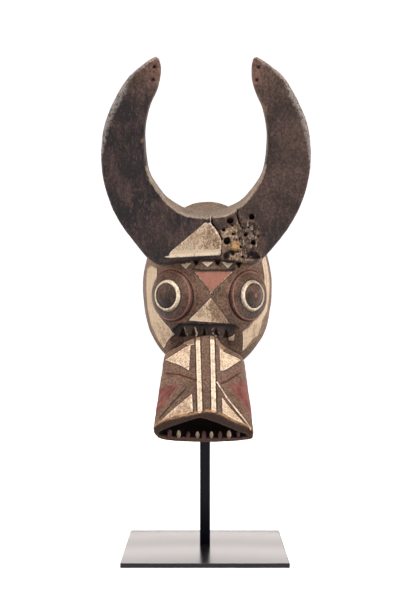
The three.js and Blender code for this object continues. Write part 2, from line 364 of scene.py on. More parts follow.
def horns(x, y, z):
    """A plate as thick as the map says, whose outline goes from the front's to the back's."""
    depth, height = horn_plane(y, z)
    u, height = np.broadcast_arrays(x - horn_x, height)
    thick = crescent.flat(2, u, height)
    share = np.clip(depth / thick, 0, 1)
    side = crescent.flat(0, u, height) * (1 - share) + crescent.flat(1, u, height) * share
    r = np.minimum(horn_round, thick * 0.33)
    a = side + r
    b = np.abs(depth - thick / 2) - thick / 2 + r
    return np.minimum(np.maximum(a, b), 0) + np.hypot(np.maximum(a, 0), np.maximum(b, 0)) - r


def horn_root(x, y, z):
    """The swelling behind the brow, an ellipsoid."""
    px, py, pz = ((v - centre) / r for v, centre, r in zip((x, y, z), root_centre, root_reach))
    k0 = np.sqrt(px**2 + py**2 + pz**2)
    k1 = np.sqrt(sum((p / r) ** 2 for p, r in zip((px, py, pz), root_reach)))
    return k0 * (k0 - 1) / np.maximum(k1, 1e-6)


print("inside the horns' root:", float(horn_root(*root_centre)) < 0)

# %% [markdown]
# ## The snout
# The snout hangs forward and down from the face. Its sections lie parallel to the mouth, and each is drawn
# as [across, depth below the ridge]. Those between the root and the lip are blends of the two. The mouth
# is hollow right through to the hood, so that the wearer can see and breathe through it.

# %% Snout sections
root_outline = [[0, 0], [11, 1], [19, 4.5], [25, 14], [31, 22], [45, 31], [60, 41], [67, 54], [68, 74],
                [58, 90], [0, 96], [-60, 90], [-70, 74], [-69.5, 49], [-66, 37], [-50, 26], [-34, 15],
                [-21, 7.5], [-10, 3]]
lip_outline = [[0, 3.5], [12.5, 4.5], [20.5, 7.5], [29, 11.5], [38, 17.5], [50.5, 24], [64, 30], [75, 40],
               [75.5, 49], [68, 59], [0, 63.5], [-64, 58.5], [-77, 50], [-80.5, 41.5], [-79.5, 33],
               [-69, 24], [-51.5, 16.5], [-31, 11.5], [-12.5, 6.5]]
mouth_root = [[0, 28], [12, 30], [24, 38], [40, 48], [52, 58], [50, 76], [0, 80], [-50, 76], [-56, 58],
              [-44, 46], [-30, 36], [-15, 30]]
mouth_lip = [[-7, 14.5], [14, 22.5], [32, 31.5], [50.5, 41], [64, 47], [58, 51], [0, 52], [-62, 48],
             [-71, 42.5], [-59, 35], [-41, 27], [-23, 19.5]]
neck_outline = [[x * 0.985, q + 10 * (1 - q / 75) if q < 75 else q - 0.8] for x, q in root_outline]


def blended(first, last, count):
    """Distance maps of the sections between two outlines."""
    first, last = np.array(first, float), np.array(last, float)
    layers = []
    for share in np.linspace(0, 1, count):
        outline = first * (1 - share) + last * share
        smooth = through(outline, len(outline) * 4, closed=True)
        layers.append(lambda u, v, smooth=smooth: to_outline(smooth, u, v))
    return layers


snout_low, snout_high = (-100, -25), (100, 125)
sections = 5
snout_map = Map(snout_low, snout_high, blended(root_outline, lip_outline, sections))
mouth_map = Map(snout_low, snout_high, blended(mouth_root, mouth_lip, sections))
neck_map = Map(snout_low, snout_high, blended(neck_outline, neck_outline, 2))
print("maps of the snout, the mouth and the neck", [m.layers.shape for m in (snout_map, mouth_map, neck_map)])

# %% [markdown]
# The ridge starts at its root on the face and runs forward and down. The sections are tilted by 30
# degrees from upright, so a place on the snout is given by how far along the ridge it is and how deep
# below it. Behind the root a short neck carries the same section back into the hood.

# %% Snout and mouth
ridge_root = (-80, 384.5)
ridge_run = (-117.7, -112.8)
tilt = math.radians(30)
neck_length, neck_overlap = 52, 16
mouth_end = 1.12
run_y, run_z = ridge_run
down_y, down_z = math.sin(tilt), -math.cos(tilt)
run_area = run_y * down_z - down_y * run_z


def on_snout(y, z):
    """How far along the ridge a point is, from root to lip, and how deep below it."""
    dy, dz = y - ridge_root[0], z - ridge_root[1]
    along = (dy * down_z - down_y * dz) / run_area
    return along, (run_y * dz - run_z * dy) / run_area


def neck_depth(y, z):
    """How deep below the ridge's root a point is, and how far behind it."""
    depth = (z - ridge_root[1]) / down_z + 0 * y
    return depth, y - ridge_root[0] - depth * down_y


def snout(x, y, z):
    """The roof from root to lip, and a neck that carries it back into the hood."""
    along, depth = on_snout(y, z)
    level, u, v = np.broadcast_arrays(along, x, depth)
    roof = soft_max(snout_map.at(level, u, v), (along - 1) * run_area, 5)
    roof = soft_max(roof, -along * run_area, 3)
    v, back = neck_depth(y, z)
    u, v = np.broadcast_arrays(x, np.where(along < 0, v, depth))
    past = np.where(along < 0, back - neck_length, along * run_area - neck_overlap)
    return soft_min(roof, np.maximum(neck_map.flat(0, u, v), past), 2)


def mouth(x, y, z):
    """The opening from the lip to the hood."""
    along, depth = on_snout(y, z)
    v, back = neck_depth(y, z)
    level, u, v = np.broadcast_arrays(along, x, np.where(along < 0, v, depth))
    tube = mouth_map.at(level, u, v)
    return np.maximum(tube, np.where(along < 0, back - neck_length, (along - mouth_end) * run_area))


print("the ridge is", round(math.hypot(*ridge_run)), "mm long")

# %% [markdown]
# ## The eyes
# Each eye is a disc turned outward on the cheek. Its profile is drawn as [radius, height]: a swelling
# flank, a step up to the raised ring, a shallow groove, and a domed pupil.

# %% Eye bosses
eye_height, eye_sink = 449, 3.5
eyes = [dict(x=-59, turn=math.radians(-35), rise=15.5), dict(x=78, turn=math.radians(42), rise=12)]
for eye in eyes:
    turn, rise = eye["turn"], eye["rise"]
    eye["axis"] = (math.sin(turn), -math.cos(turn))
    eye["centre"] = (
        eye["x"] - eye_sink * math.sin(turn),
        hood_front(eye["x"], eye_height) + eye_sink * math.cos(turn),
    )
    profile = [[-80, -24], [39, -24], [43, -6], [43, 0], [41.5, 2], [36, (rise - 6) * 0.65],
               [31, (rise - 6) * 0.93], [26.5, rise - 5.6], [25.3, rise - 1], [23.8, rise], [21.8, rise],
               [21.2, rise - 1.8], [20.4, rise - 2.2], [18, rise + 0.4], [12, rise + 3.9],
               [6, rise + 5.3], [0, rise + 5.6], [-80, rise + 5.6]]
    eye["map"] = Map((0, -40), (70, 40), [lambda u, v, p=profile: to_outline(np.array(p), u, v)], 0.5)


def on_eye(eye, x, y, z):
    """Distance from the eye's axis, and height along it."""
    dx, dy, dz = x - eye["centre"][0], y - eye["centre"][1], z - eye_height
    height = dx * eye["axis"][0] + dy * eye["axis"][1]
    side = dx * eye["axis"][1] - dy * eye["axis"][0]
    return np.sqrt(side * side + dz * dz), height + 0 * dz


def eye_boss(eye):
    return lambda x, y, z: eye["map"].flat(0, *on_eye(eye, x, y, z))


print("eyes' centres, mm:", [tuple(round(v, 1) for v in eye["centre"]) for eye in eyes])

# %% [markdown]
# ## Cutting the mask
# The parts go together in the order a carver would rough them out: hood, horns, eyes and snout first,
# then the hollow and the mouth, and last the notches, the insects' holes and the split brow.

# %% Roughing out
block = Block((-176, -208, 198), (180, 172, 834), cell)
block.add(hood, (-130, -100, 270), (140, 180, 632), 1)

recess = np.array([[-62, 352], [62, 350], [64, 388], [50, 400], [-42, 402], [-54, 392]])
recess_depth = 11


def recess_cut(x, y, z):
    """The dark hollow over the snout, which runs out towards the cheeks and below."""
    inset = to_outline(recess, x, z)
    deep = recess_depth * np.clip((61 - np.abs(x)) / 24, 0, 1) * np.clip((z - 344) / 18, 0, 1)
    return np.maximum(soft_max(inset, -(hood(x, y, z) + deep), 3), y - 20)


block.cut(recess_cut, (-75, -110, 340), (75, 0, 412), 2.5)
block.add(horn_root, (-110, -105, 455), (115, 45, 610), 16)
for eye in eyes:
    cx, cy = eye["centre"]
    block.add(eye_boss(eye), (cx - 62, cy - 62, 395), (cx + 62, cy + 62, 503), 1.8)
block.add(snout, (-95, -208, 198), (95, 20, 405), 3)
part, x, y, z = block.window((-176, -208, 485), (180, -15, 834))
depth, _ = horn_plane(y, z)
block.field[part] = soft_min(block.field[part], horns(x, y, z), 3 + 11 * np.clip((depth - 12) / 30, 0, 1))
block.cut(hollow, (-125, -90, 280), (130, 180, 625), 2)
block.cut(mouth, (-90, -208, 198), (90, 20, 375), 2)
block.cut(behind_rim, (-135, -90, 198), (145, 180, 640), 4)
print("wood fills", round(float((block.field < 0).mean()) * 100, 1), "% of the block")

# %% [markdown]
# The notches are small triangles, pecked out with the knife's point: a row of five in the dark recess
# above the snout, and three under the brow. The pairs of holes at the horn tips once held fringes.

# %% Notches
recess_notches = [(-37, 387.5, 12, 16), (-19, 387.5, 9, 13), (-1, 388, 8, 12), (18, 387.5, 9, 13),
                  (35, 384, 10, 14)]
brow_notches = [(-15, 503, 11, -10), (21, 503.5, 11, -10), (56, 500, 11, -10)]
notch_depth = 6


def notch(nx, nz, width, height, floor):
    """A triangle about a place, pointing up, or down where the height is negative."""
    outline = np.array([[nx - width / 2, nz - height / 2], [nx + width / 2, nz - height / 2],
                        [nx, nz + height / 2]])

    def cut(x, y, z):
        return soft_max(to_outline(outline, x, z), -(hood(x, y, z) + floor), 2)

    return cut


for notches, floor in ((recess_notches, recess_depth + notch_depth), (brow_notches, notch_depth)):
    for nx, nz, width, height in notches:
        low, high = (nx - 12, -125, nz - 14), (nx + 12, -30, nz + 14)
        block.cut(notch(nx, nz, width, height, floor), low, high, 1.2)
print("notches", len(recess_notches), "over the snout and", len(brow_notches), "under the brow")

# %% [markdown]
# The insects' holes lie in the horns' front plane, each with its place, radius and depth. Only the larger
# ones are ragged. The holes at the tips were bored straight back.

# %% Holes
tip_holes = [(-79, 806), (-81.5, 787), (83, 806), (81.5, 787)]
tip_radius = 2.2
ragged_from = 2.5
bores = [(41, 570.3, 5.2, 24), (76.4, 576.9, 4.6, 24), (36.2, 538.4, 6.2, 24), (79.8, 535.5, 4.4, 24),
         (30.3, 556.1, 2.8, 8), (59, 528.5, 2.6, 9), (44.5, 563, 2.4, 6), (46, 549, 2.6, 7),
         (67, 549, 3.2, 9), (57, 541, 2.2, 7), (71, 560, 2.0, 7), (88, 545, 1.9, 5), (47, 517, 2.6, 8),
         (62, 512, 3.0, 10), (72, 516, 2.4, 8)]


def bore(bx, bz, radius, deep):
    def cut(x, y, z):
        depth, height = horn_plane(y, z)
        ragged = 0.8 * noise(x, y, z, 3.2, 21) + 0.5 * noise(x, y, z, 6, 22)
        round_hole = np.hypot(x - bx, height - bz) - radius + (ragged if radius > ragged_from else 0)
        return soft_max(round_hole, np.abs(depth) - deep, 3)

    return cut


def tip_hole(hx, hz):
    return lambda x, y, z: np.hypot(x - hx, z - hz) - tip_radius + 0 * y


for bx, bz, radius, deep in bores:
    lift = math.tan(lean) * (bz - horn_z)
    low = (bx - 12, horn_y - lift - 14, bz - 14)
    high = (bx + 12, horn_y - lift + 40, bz + 26)
    block.cut(bore(bx, bz, radius, deep), low, high, 1.0)
for hx, hz in tip_holes:
    block.cut(tip_hole(hx, hz), (hx - 6, -200, hz - 6), (hx + 6, -120, hz + 6), 0.6)
print("insects' holes", len(bores), "holes at the tips", len(tip_holes))

# %% [markdown]
# Insects have eaten into the right of the brow and the wood has flaked there. The flakes are cut where a
# noise runs high, no more than a few millimetres deep, and the lower edge is left ragged.

# %% The damaged brow
damage = np.array([[22, 556], [34, 560], [50, 566], [58, 579], [70, 573], [86, 569], [92, 552], [88, 528],
                   [96, 508], [60, 503], [26, 506], [30, 522]])
splits = [[(11.5, 578), (11, 567.6), (19, 557), (24.5, 548), (28.5, 539)],
          [(54, 589), (52.5, 581), (56.5, 566), (62, 558.5)]]


def flaking(x, y, z):
    """Flakes from 1.2 mm deep, deeper along the lower edge and none at the outline."""
    depth, height = horn_plane(y, z)
    u, v = np.broadcast_arrays(x + 0 * y, height + 0 * x)
    edge = to_outline(damage, u, v)
    rough = noise(x, y * 0.4, z, 9, 31) + 0.6 * noise(x, y * 0.4, z, 4.5, 32)
    floor = 1.2 + 3.0 * np.maximum(rough, 0)
    low_edge = np.clip((524 - v) / 14, 0, 1) * 5 * np.maximum(rough + 0.35, 0)
    return np.maximum(edge + 2 * rough, depth - (floor + low_edge) * np.clip(-edge / 5, 0, 1))


block.cut(flaking, (10, -130, 490), (105, -70, 600), 0.8)


def split(line):
    """A crack along a line that narrows with its depth."""
    def cut(x, y, z):
        depth, height = horn_plane(y, z)
        u, v = np.broadcast_arrays(x + 0 * y, height + 0 * x)
        return to_line(line, u, v) - np.clip(1.5 - depth * 0.12, 0, 2)

    return cut


for line in splits:
    block.cut(split(line), (5, -130, 525), (70, -75, 605), 0.6)
print("flakes inside", len(damage), "corners, splits", len(splits))

# %% [markdown]
# ## From distances to faces
# Each grid cell that the surface passes through gets one vertex, at the mean of the places where the
# surface crosses the cell's edges, and each crossed edge gets one face between the four cells round it.
# The result is closed, because the block is larger than the mask.

# %% Surface of the wood
def surface(block):
    """The vertices in millimetres, and the faces of four corners, which look outward."""
    field = block.field
    wood = field < 0
    counts = np.array(field.shape) - 1
    touched = np.zeros(counts, np.uint8)
    for i in (0, 1):
        for j in (0, 1):
            for k in (0, 1):
                touched += wood[i:counts[0] + i, j:counts[1] + j, k:counts[2] + k]
    active = (touched > 0) & (touched < 8)
    cells = np.argwhere(active)
    number = np.full(active.shape, -1, np.int32)
    number[active] = np.arange(len(cells))
    total = np.zeros((len(cells), 3))
    hits = np.zeros(len(cells))
    for axis in range(3):
        step = np.eye(3, dtype=int)[axis]
        for a in (0, 1):
            for b in (0, 1):
                offset = np.insert([a, b], axis, 0)
                start = cells + offset
                end = start + step
                f0 = field[tuple(start.T)]
                f1 = field[tuple(end.T)]
                crossed = (f0 < 0) != (f1 < 0)
                share = (f0 / np.where(crossed, f0 - f1, 1))[:, None]
                total += np.where(crossed[:, None], offset + share * step, 0)
                hits += crossed
    low = np.array([axis[0] for axis in block.axes])
    points = low + block.step * (cells + total / hits[:, None])
    faces = []
    for axis in range(3):
        first = [slice(None)] * 3
        second = [slice(None)] * 3
        first[axis], second[axis] = slice(None, -1), slice(1, None)
        edges = np.argwhere(wood[tuple(first)] != wood[tuple(second)])
        u, v = np.eye(3, dtype=int)[(axis + 1) % 3], np.eye(3, dtype=int)[(axis + 2) % 3]
        ring = [edges - u - v, edges - v, edges, edges - u]
        quad = np.stack([number[tuple(corner.T)] for corner in ring], 1)
        flip = ~wood[tuple(edges.T)]
        quad[flip] = quad[flip][:, ::-1]
        faces.append(quad)
    return points, np.vstack(faces)


points, faces = surface(block)
print("vertices", len(points), "faces", len(faces))

# %% [markdown]
# Each vertex then moves a third of the way to the mean of its neighbours, which takes out the grid's
# steps. Two averaged copies of the field are kept: the mean is above zero near an edge that stands out
# and below it in a corner, and the paint uses both for rubbed edges and for dirt with painted shade in
# corners.

# %% First smoothing
def neighbours_mean(points, faces, values):
    """The mean of values over each vertex's neighbours along the faces' edges."""
    total = np.zeros_like(values)
    count = np.zeros(len(points))
    sides = faces.shape[1]
    for i in range(sides):
        for a, b in ((faces[:, i], faces[:, (i + 1) % sides]), (faces[:, (i + 1) % sides], faces[:, i])):
            if values.ndim == 1:
                total += np.bincount(a, values[b], len(points))
            else:
                for axis in range(values.shape[1]):
                    total[:, axis] += np.bincount(a, values[b, axis], len(points))
            count += np.bincount(a, minlength=len(points))
    return total / (count if values.ndim == 1 else count[:, None])


first_smoothing = 0.35
narrow, wide = block.blurred(2), block.blurred(5)
shift = first_smoothing * (neighbours_mean(points, faces, points) - points)
points += shift
print("smoothing moved the vertices by up to", round(float(np.abs(shift).max()), 2), "mm")

# %% [markdown]
# ## Tool marks
# An adze leaves shallow facets and the grain leaves fine ridges along the block, which stands upright.
# Both move the surface by less than a millimetre. The painted front was scraped smoother than the rest.

# %% Triangles and normals
def as_triangles(points, faces):
    """Each face of four corners split along its shorter diagonal."""
    a, b, c, d = (points[faces[:, i]] for i in range(4))
    straight = ((a - c) ** 2).sum(1) <= ((b - d) ** 2).sum(1)
    first = np.where(straight[:, None], faces[:, [0, 1, 2]], faces[:, [0, 1, 3]])
    second = np.where(straight[:, None], faces[:, [0, 2, 3]], faces[:, [1, 2, 3]])
    return np.vstack([first, second])


def face_normals(points, faces):
    a, b, c = (points[faces[:, i]] for i in range(3))
    return np.cross(b - a, c - a)


def vertex_normals(points, faces):
    flat = face_normals(points, faces)
    total = np.zeros_like(points)
    for i in range(faces.shape[1]):
        for axis in range(3):
            total[:, axis] += np.bincount(faces[:, i], flat[:, axis], len(points))
    return total / np.maximum(np.linalg.norm(total, axis=1)[:, None], 1e-12)


faces = as_triangles(points, faces)
normals = vertex_normals(points, faces)
print("triangles before thinning", len(faces))

# %% [markdown]
# Each scoop is deepest at its own centre. A scoop is a little longer along the grain, because the adze
# swings that way.

# %% Adze facets and grain
scoop_cells, scoop_stretch = 16, 1.7
facet_mm, grain_mm, swell_mm = 0.75, 0.14, 0.6
scraped = 0.7


def facets(x, y, z, size, seed):
    """Shallow scoops side by side: how far each point is from the nearest of a seeded set of centres."""
    offsets = np.random.default_rng(seed).random((scoop_cells,) * 3 + (3,))
    gx, gy, gz = (v / s + lattice_shift for v, s in zip((x, y, z), (size, size, size * scoop_stretch)))
    base = np.floor(np.stack([gx, gy, gz], -1)).astype(int)
    nearest = np.full(len(x), 9.0)
    for i in (-1, 0, 1):
        for j in (-1, 0, 1):
            for k in (-1, 0, 1):
                there = base + [i, j, k]
                centre = there + offsets[tuple((there % scoop_cells).T)]
                gap = (centre[:, 0] - gx) ** 2 + (centre[:, 1] - gy) ** 2 + (centre[:, 2] - gz) ** 2
                nearest = np.minimum(nearest, gap)
    return nearest


x, y, z = points.T
front = np.clip(-normals[:, 1] * 1.5, 0, 1) * (z < 505)
scoops = facets(x, y, z, 15, 41) - 0.35
grain = noise(x, y, z / 7, 2.6, 42)
swell = noise(x, y, z, 30, 43)
cut_by = facet_mm * scoops * (1 - scraped * front) + grain_mm * grain + swell_mm * swell
points += normals * cut_by[:, None]
print("tool marks move the surface by up to", round(float(np.abs(cut_by).max()), 2), "mm")

# %% [markdown]
# The faces outnumber what the hidden sides need. Weights keep the painted front whole, and the rest is
# thinned where it is nearly flat.

# %% Thinning the hidden sides
def mesh_object(name, points, faces):
    mesh = bpy.data.meshes.new(name)
    mesh.vertices.add(len(points))
    mesh.vertices.foreach_set("co", (points * MM).astype(np.float32).ravel())
    mesh.loops.add(faces.size)
    mesh.loops.foreach_set("vertex_index", faces.astype(np.int32).ravel())
    mesh.polygons.add(len(faces))
    mesh.polygons.foreach_set("loop_start", np.arange(0, faces.size, faces.shape[1], dtype=np.int32))
    mesh.update(calc_edges=True)
    obj = bpy.data.objects.new(name, mesh)
    bpy.context.collection.objects.link(obj)
    return obj


def plain_copy(obj):
    """The object's mesh with its modifiers worked in, and no modifiers left."""
    done = bpy.data.meshes.new_from_object(obj.evaluated_get(bpy.context.evaluated_depsgraph_get()))
    obj.modifiers.clear()
    obj.data = done
    return obj


most_triangles = 190000
mask = mesh_object("carved_mask", points, faces)
normals = vertex_normals(points, faces)
painted = (normals[:, 1] < -0.15) & (z < 600) & (y < 10)
free = mask.vertex_groups.new(name="hidden")
free.add(np.flatnonzero(~painted).tolist(), 1.0, "REPLACE")
thin = mask.modifiers.new("thin", "DECIMATE")
thin.ratio = min(0.999, most_triangles / len(faces))
thin.vertex_group = "hidden"
thin.use_collapse_triangulate = True
plain_copy(mask)
mask.vertex_groups.clear()
print("triangles", sum(len(p.vertices) - 2 for p in mask.data.polygons))

# %% [markdown]
# ## Where the paint goes
# The paint follows a traditional plan of triangles, stripes and rings. Each shape is a polygon on a
# chart of the surface it lies on: the horns' front plane, the cheeks unrolled round the hood, the snout
# along its ridge, or the face, the recess and the eyes as seen from in front. First each vertex is told
# which part of the mask it belongs to, by the nearest of the shapes that made it.

# %% Parts of the surface
recess_floor = 6
count = len(mask.data.vertices)
points = np.empty(count * 3, np.float32)
mask.data.vertices.foreach_get("co", points)
points = points.reshape(-1, 3).astype(float) / MM
faces = np.empty(len(mask.data.polygons) * 3, np.int32)
mask.data.polygons.foreach_get("vertices", faces)
faces = faces.reshape(-1, 3)
normals = vertex_normals(points, faces)
x, y, z = points.T

along, _ = on_snout(y, z)
slab_depth, slab_height = horn_plane(y, z)
eye_places = [on_eye(eye, x, y, z) for eye in eyes]
distances = np.stack(
    [hood(x, y, z), horns(x, y, z), snout(x, y, z), eye_boss(eyes[0])(x, y, z), eye_boss(eyes[1])(x, y, z),
     horn_root(x, y, z), hood(x, y, z) + recess_depth]
)
nearest = np.abs(distances).argmin(0)
on_hood, on_horns, on_roof = nearest == 0, nearest == 1, nearest == 2
on_eyes = [nearest == 3, nearest == 4]
inside = np.maximum(-np.abs(hollow(x, y, z)), -np.abs(mouth(x, y, z))) > -2
inside |= (y > 20) & (np.abs(behind_rim(x, y, z)) < 3)
near_recess = (nearest == recess_floor) & (np.abs(x) < 66) & (y < -40)
in_recess = near_recess & (z > 345) & (z < 408)
slab_front = on_horns & (slab_depth < 4) & ~inside
face_front = on_hood & (y < 0) & ~inside
print("vertices", count, "inside", int(inside.sum()), "on the horns", int(on_horns.sum()))

# %% [markdown]
# A chart says which vertices lie on it and where each is, across and along. A cheek's corners are given
# in degrees round the hood, and the snout's as a share of its length, so these two have a scale.

# %% Charts
mm_per_degree = 1.95
snout_length = 163
degrees = np.degrees(np.arctan2(x - hood_centre[0], hood_centre[1] - y))
charts = {
    "slab": (slab_front, x, slab_height),
    "face": (face_front, x, z),
    "cheek": (face_front, degrees * mm_per_degree, z),
    "snout": (on_roof & ~inside, x, along * snout_length),
    "recess": (in_recess, x, z),
    "eyes": (on_eyes[0] | on_eyes[1], x, z),
}
chart_scale = {"cheek": [mm_per_degree, 1], "snout": [1, snout_length]}
print("vertices on each chart", {name: int(chart[0].sum()) for name, chart in charts.items()})

# %% [markdown]
# The plan of the paint: a colour, the chart, and the corners of the shape on it. A shape with a width is
# a line of that width instead. White chalk makes the large shapes, red earth fills between them, and
# dark lines of soot run beside both.

# %% The plan of the paint
chalk, red, dark, ochre = "chalk", "red", "dark", "ochre"
shapes = [
    (chalk, "slab", [(0, 568), (-57, 521), (-60, 514), (26, 519), (28, 539), (24.5, 548), (19, 557),
                     (11, 567)]),
    (chalk, "slab", [(-70, 512.6), (-58, 515), (26, 519.5), (26, 516), (-58, 511.5)]),
    (chalk, "slab", [(9.5, 580), (9, 567), (17, 556.5), (22.5, 547.5), (27, 539)], 1.4),
    (chalk, "slab", [(25, 556), (40, 560), (50, 550), (46, 540), (36, 532), (38, 520), (28, 519),
                     (29, 540)]),
    (ochre, "slab", [(43, 541), (56, 537), (60, 523), (44, 519)]),
    (red, "face", [(-16, 488), (44.5, 488.5), (10.5, 456)]),
    (chalk, "face", [(-17, 488.5), (10.5, 455), (13, 452)], 1.0),
    (chalk, "face", [(45.5, 489), (10.5, 455), (8, 452)], 1.0),
    (dark, "face", [(-20, 493.5), (-8, 491), (36, 491), (49, 493.5)], 3.2),
    (chalk, "face", [(10.3, 445.5), (-27.5, 407.5), (42, 402)]),
    (chalk, "face", [(-45, 506), (-20, 506), (-32.5, 493.5)]),
    (chalk, "face", [(-9, 508), (17, 508), (4, 496.5)]),
    (chalk, "face", [(26, 507), (50, 507), (38, 494.5)]),
    (dark, "face", [(-33, 503), (-33, 501.5)], 1.2),
    (dark, "face", [(4, 506), (4, 501)], 1.2),
    (dark, "face", [(38, 503), (38, 501.5)], 1.2),
    (chalk, "cheek", [(-47, 520), (-67, 520), (-70, 480), (-71, 452), (-72, 417), (-70, 390),
                      (-50, 357), (-31, 383), (-34, 394), (-46, 417), (-43, 452), (-45, 480)]),
    (chalk, "cheek", [(54, 520), (55, 476), (49, 442), (44, 417), (36, 397), (31, 389), (37, 354),
                      (56, 372), (70, 396), (73, 417), (76, 442), (78, 477), (78, 520)]),
    (chalk, "snout", [(-12, 0.0), (-7.6, 0.965)], 7.0),
    (chalk, "snout", [(12, 0.0), (13.6, 0.965)], 7.0),
    (dark, "snout", [(-16.8, 0.0), (-12.5, 0.96)], 1.2),
    (dark, "snout", [(-7.4, 0.0), (-3.0, 0.97)], 1.2),
    (dark, "snout", [(7.2, 0.0), (9.2, 0.97)], 1.2),
    (dark, "snout", [(17, 0.0), (18.4, 0.95)], 1.2),
    (chalk, "snout", [(-67, 0.11), (-24, 0.09), (-26, 0.43)]),
    (chalk, "snout", [(24.5, 0.10), (61, 0.08), (25, 0.43)]),
    (chalk, "snout", [(-20.6, 0.74), (-18.9, 0.955), (-69.7, 0.975)]),
    (chalk, "snout", [(26.8, 0.76), (27.1, 0.955), (62.7, 0.975)]),
    (chalk, "snout", [(19.4, 0.61), (71, 0.985)], 3.2),
    (dark, "snout", [(17.4, 0.63), (69, 1.0)], 1.2),
    (dark, "snout", [(-30.6, 0.66), (-70, 0.92)], 2.8),
    (red, "snout", [(-80, 0.48), (-74, 0.5), (-41.5, 0.58), (-73.3, 0.84), (-80, 0.86)]),
    (red, "snout", [(39.5, 0.55), (66.6, 0.35), (80, 0.3), (80, 0.84), (71.6, 0.82)]),
    (red, "snout", [(-64.4, 0.32), (-48.9, 0.40), (-13.7, 0.58)], 3.4),
    (dark, "snout", [(-64.4, 0.33), (-48.9, 0.41), (-14.7, 0.585)], 1.8),
    (red, "snout", [(24.7, 0.59), (58.6, 0.27)], 3.2),
    (dark, "snout", [(26.2, 0.59), (58.6, 0.28)], 1.6),
    (chalk, "snout", [(-40, 0.0), (-18, 0.0), (-18, 0.1), (-26, 0.09)]),
    (chalk, "snout", [(18, 0.0), (38, 0.0), (28, 0.11), (18, 0.1)]),
    (chalk, "recess", [(-35.5, 396), (-29.5, 381)], 0.9),
    (chalk, "recess", [(-17, 395), (-13.6, 385), (-14.5, 381)], 2.6),
    (chalk, "recess", [(11.5, 391), (14.5, 394.5)], 1.8),
    (chalk, "recess", [(12.5, 385.5), (18.5, 380.5)], 2.2),
    (chalk, "recess", [(21, 391), (24.5, 384)], 1.2),
    (chalk, "recess", [(51, 385), (46, 380), (40, 378), (41, 372.5), (49, 372), (50, 378)]),
    (chalk, "face", [(51, 385), (46, 380), (40, 378), (41, 372.5), (49, 372), (50, 378)]),
    (red, "eyes", [(85.6, 451), (86.2, 447.5)], 3.8),
    (chalk, "slab", [(151, 729), (151.6, 727)], 2.4),
]
print("shapes", {colour: sum(s[0] == colour for s in shapes) for colour in (chalk, red, dark, ochre)})

# %% [markdown]
# Hands and weather wore the paint unevenly. These patches give the wear, from 0, where the paint is
# fresh, to 1, where much of it is gone. A later patch lies over an earlier one, and it is 0.5 elsewhere.

# %% The patches of wear
handled = [
    ("face", [(14, 443), (44, 404), (34, 401), (16, 412), (4, 428)], 0.9),
    ("face", [(-20, 412), (-27, 407.5), (8, 404), (8, 409)], 0.1),
    ("face", [(-55, 512), (60, 512), (60, 490), (-55, 490)], 0.0),
    ("cheek", [(-30, 530), (-95, 530), (-95, 340), (-30, 340)], 1.0),
    ("cheek", [(-44, 493), (-56, 500), (-65.4, 496), (-63, 442), (-65, 423), (-62, 397), (-56, 376),
               (-50.8, 360), (-43.8, 355), (-30, 380), (-30, 400), (-40, 430), (-40, 470)], 0.25),
    ("cheek", [(-56, 402), (-40, 400), (-34, 378), (-47, 366)], 0.4),
    ("cheek", [(30, 530), (95, 530), (95, 340), (30, 340)], 1.0),
    ("cheek", [(50, 505), (52, 428), (40, 396), (31, 385), (36, 350), (45.7, 373), (53.8, 402), (63.3, 424),
               (66.9, 448), (71, 475), (76, 500), (78, 530), (66, 520)], 0.25),
    ("cheek", [(42, 396), (58, 402), (54, 380), (44, 376)], 0.4),
    ("slab", [(6, 564), (18, 556), (28, 528), (4, 524), (-8, 548)], 0.7),
    ("slab", [(-62, 521), (26, 524), (26, 510), (-70, 510)], 0.1),
    ("slab", [(24, 560), (52, 562), (50, 538), (28, 538)], 0.75),
    ("slab", [(30, 536), (46, 536), (46, 515), (26, 515)], 1.1),
    ("snout", [(-21, 0.0), (22, 0.0), (22, 1.0), (-19, 1.0)], 0.3),
    ("snout", [(-21, -0.1), (22, -0.1), (22, 0.05), (-21, 0.05)], 1.0),
    ("snout", [(-70, -0.1), (-17, -0.1), (-17, 0.08), (-22, 0.08)], 1.0),
    ("snout", [(17, -0.1), (70, -0.1), (24, 0.1), (17, 0.1)], 1.0),
    ("snout", [(-60, 0.97), (-27, 0.83), (-24, 0.97)], 0.65),
    ("snout", [(30, 0.82), (30, 0.97), (56, 0.97)], 0.5),
    ("snout", [(-56, 0.14), (-30, 0.12), (-30, 0.3)], 0.5),
    ("snout", [(30, 0.14), (52, 0.12), (30, 0.3)], 0.4),
]
patch_edge_mm = 3
wear = np.full(count, 0.5)
for chart, corners, share in handled:
    on, u, v = charts[chart]
    corners = np.array(corners, float) * chart_scale.get(chart, [1, 1])
    inner_share = np.clip(1 - to_outline(corners, u[on], v[on]) / patch_edge_mm, 0, 1)
    wear[on] += (share - wear[on]) * inner_share
print("patches", len(handled), "mean wear", round(float(wear.mean()), 2))

# %% [markdown]
# Every vertex stores how many millimetres it is inside the nearest shape of each colour, and how far it
# is from the nearest border of the chalk. The shader can then draw a crisp or a worn edge between the
# vertices, finer than the mesh itself.

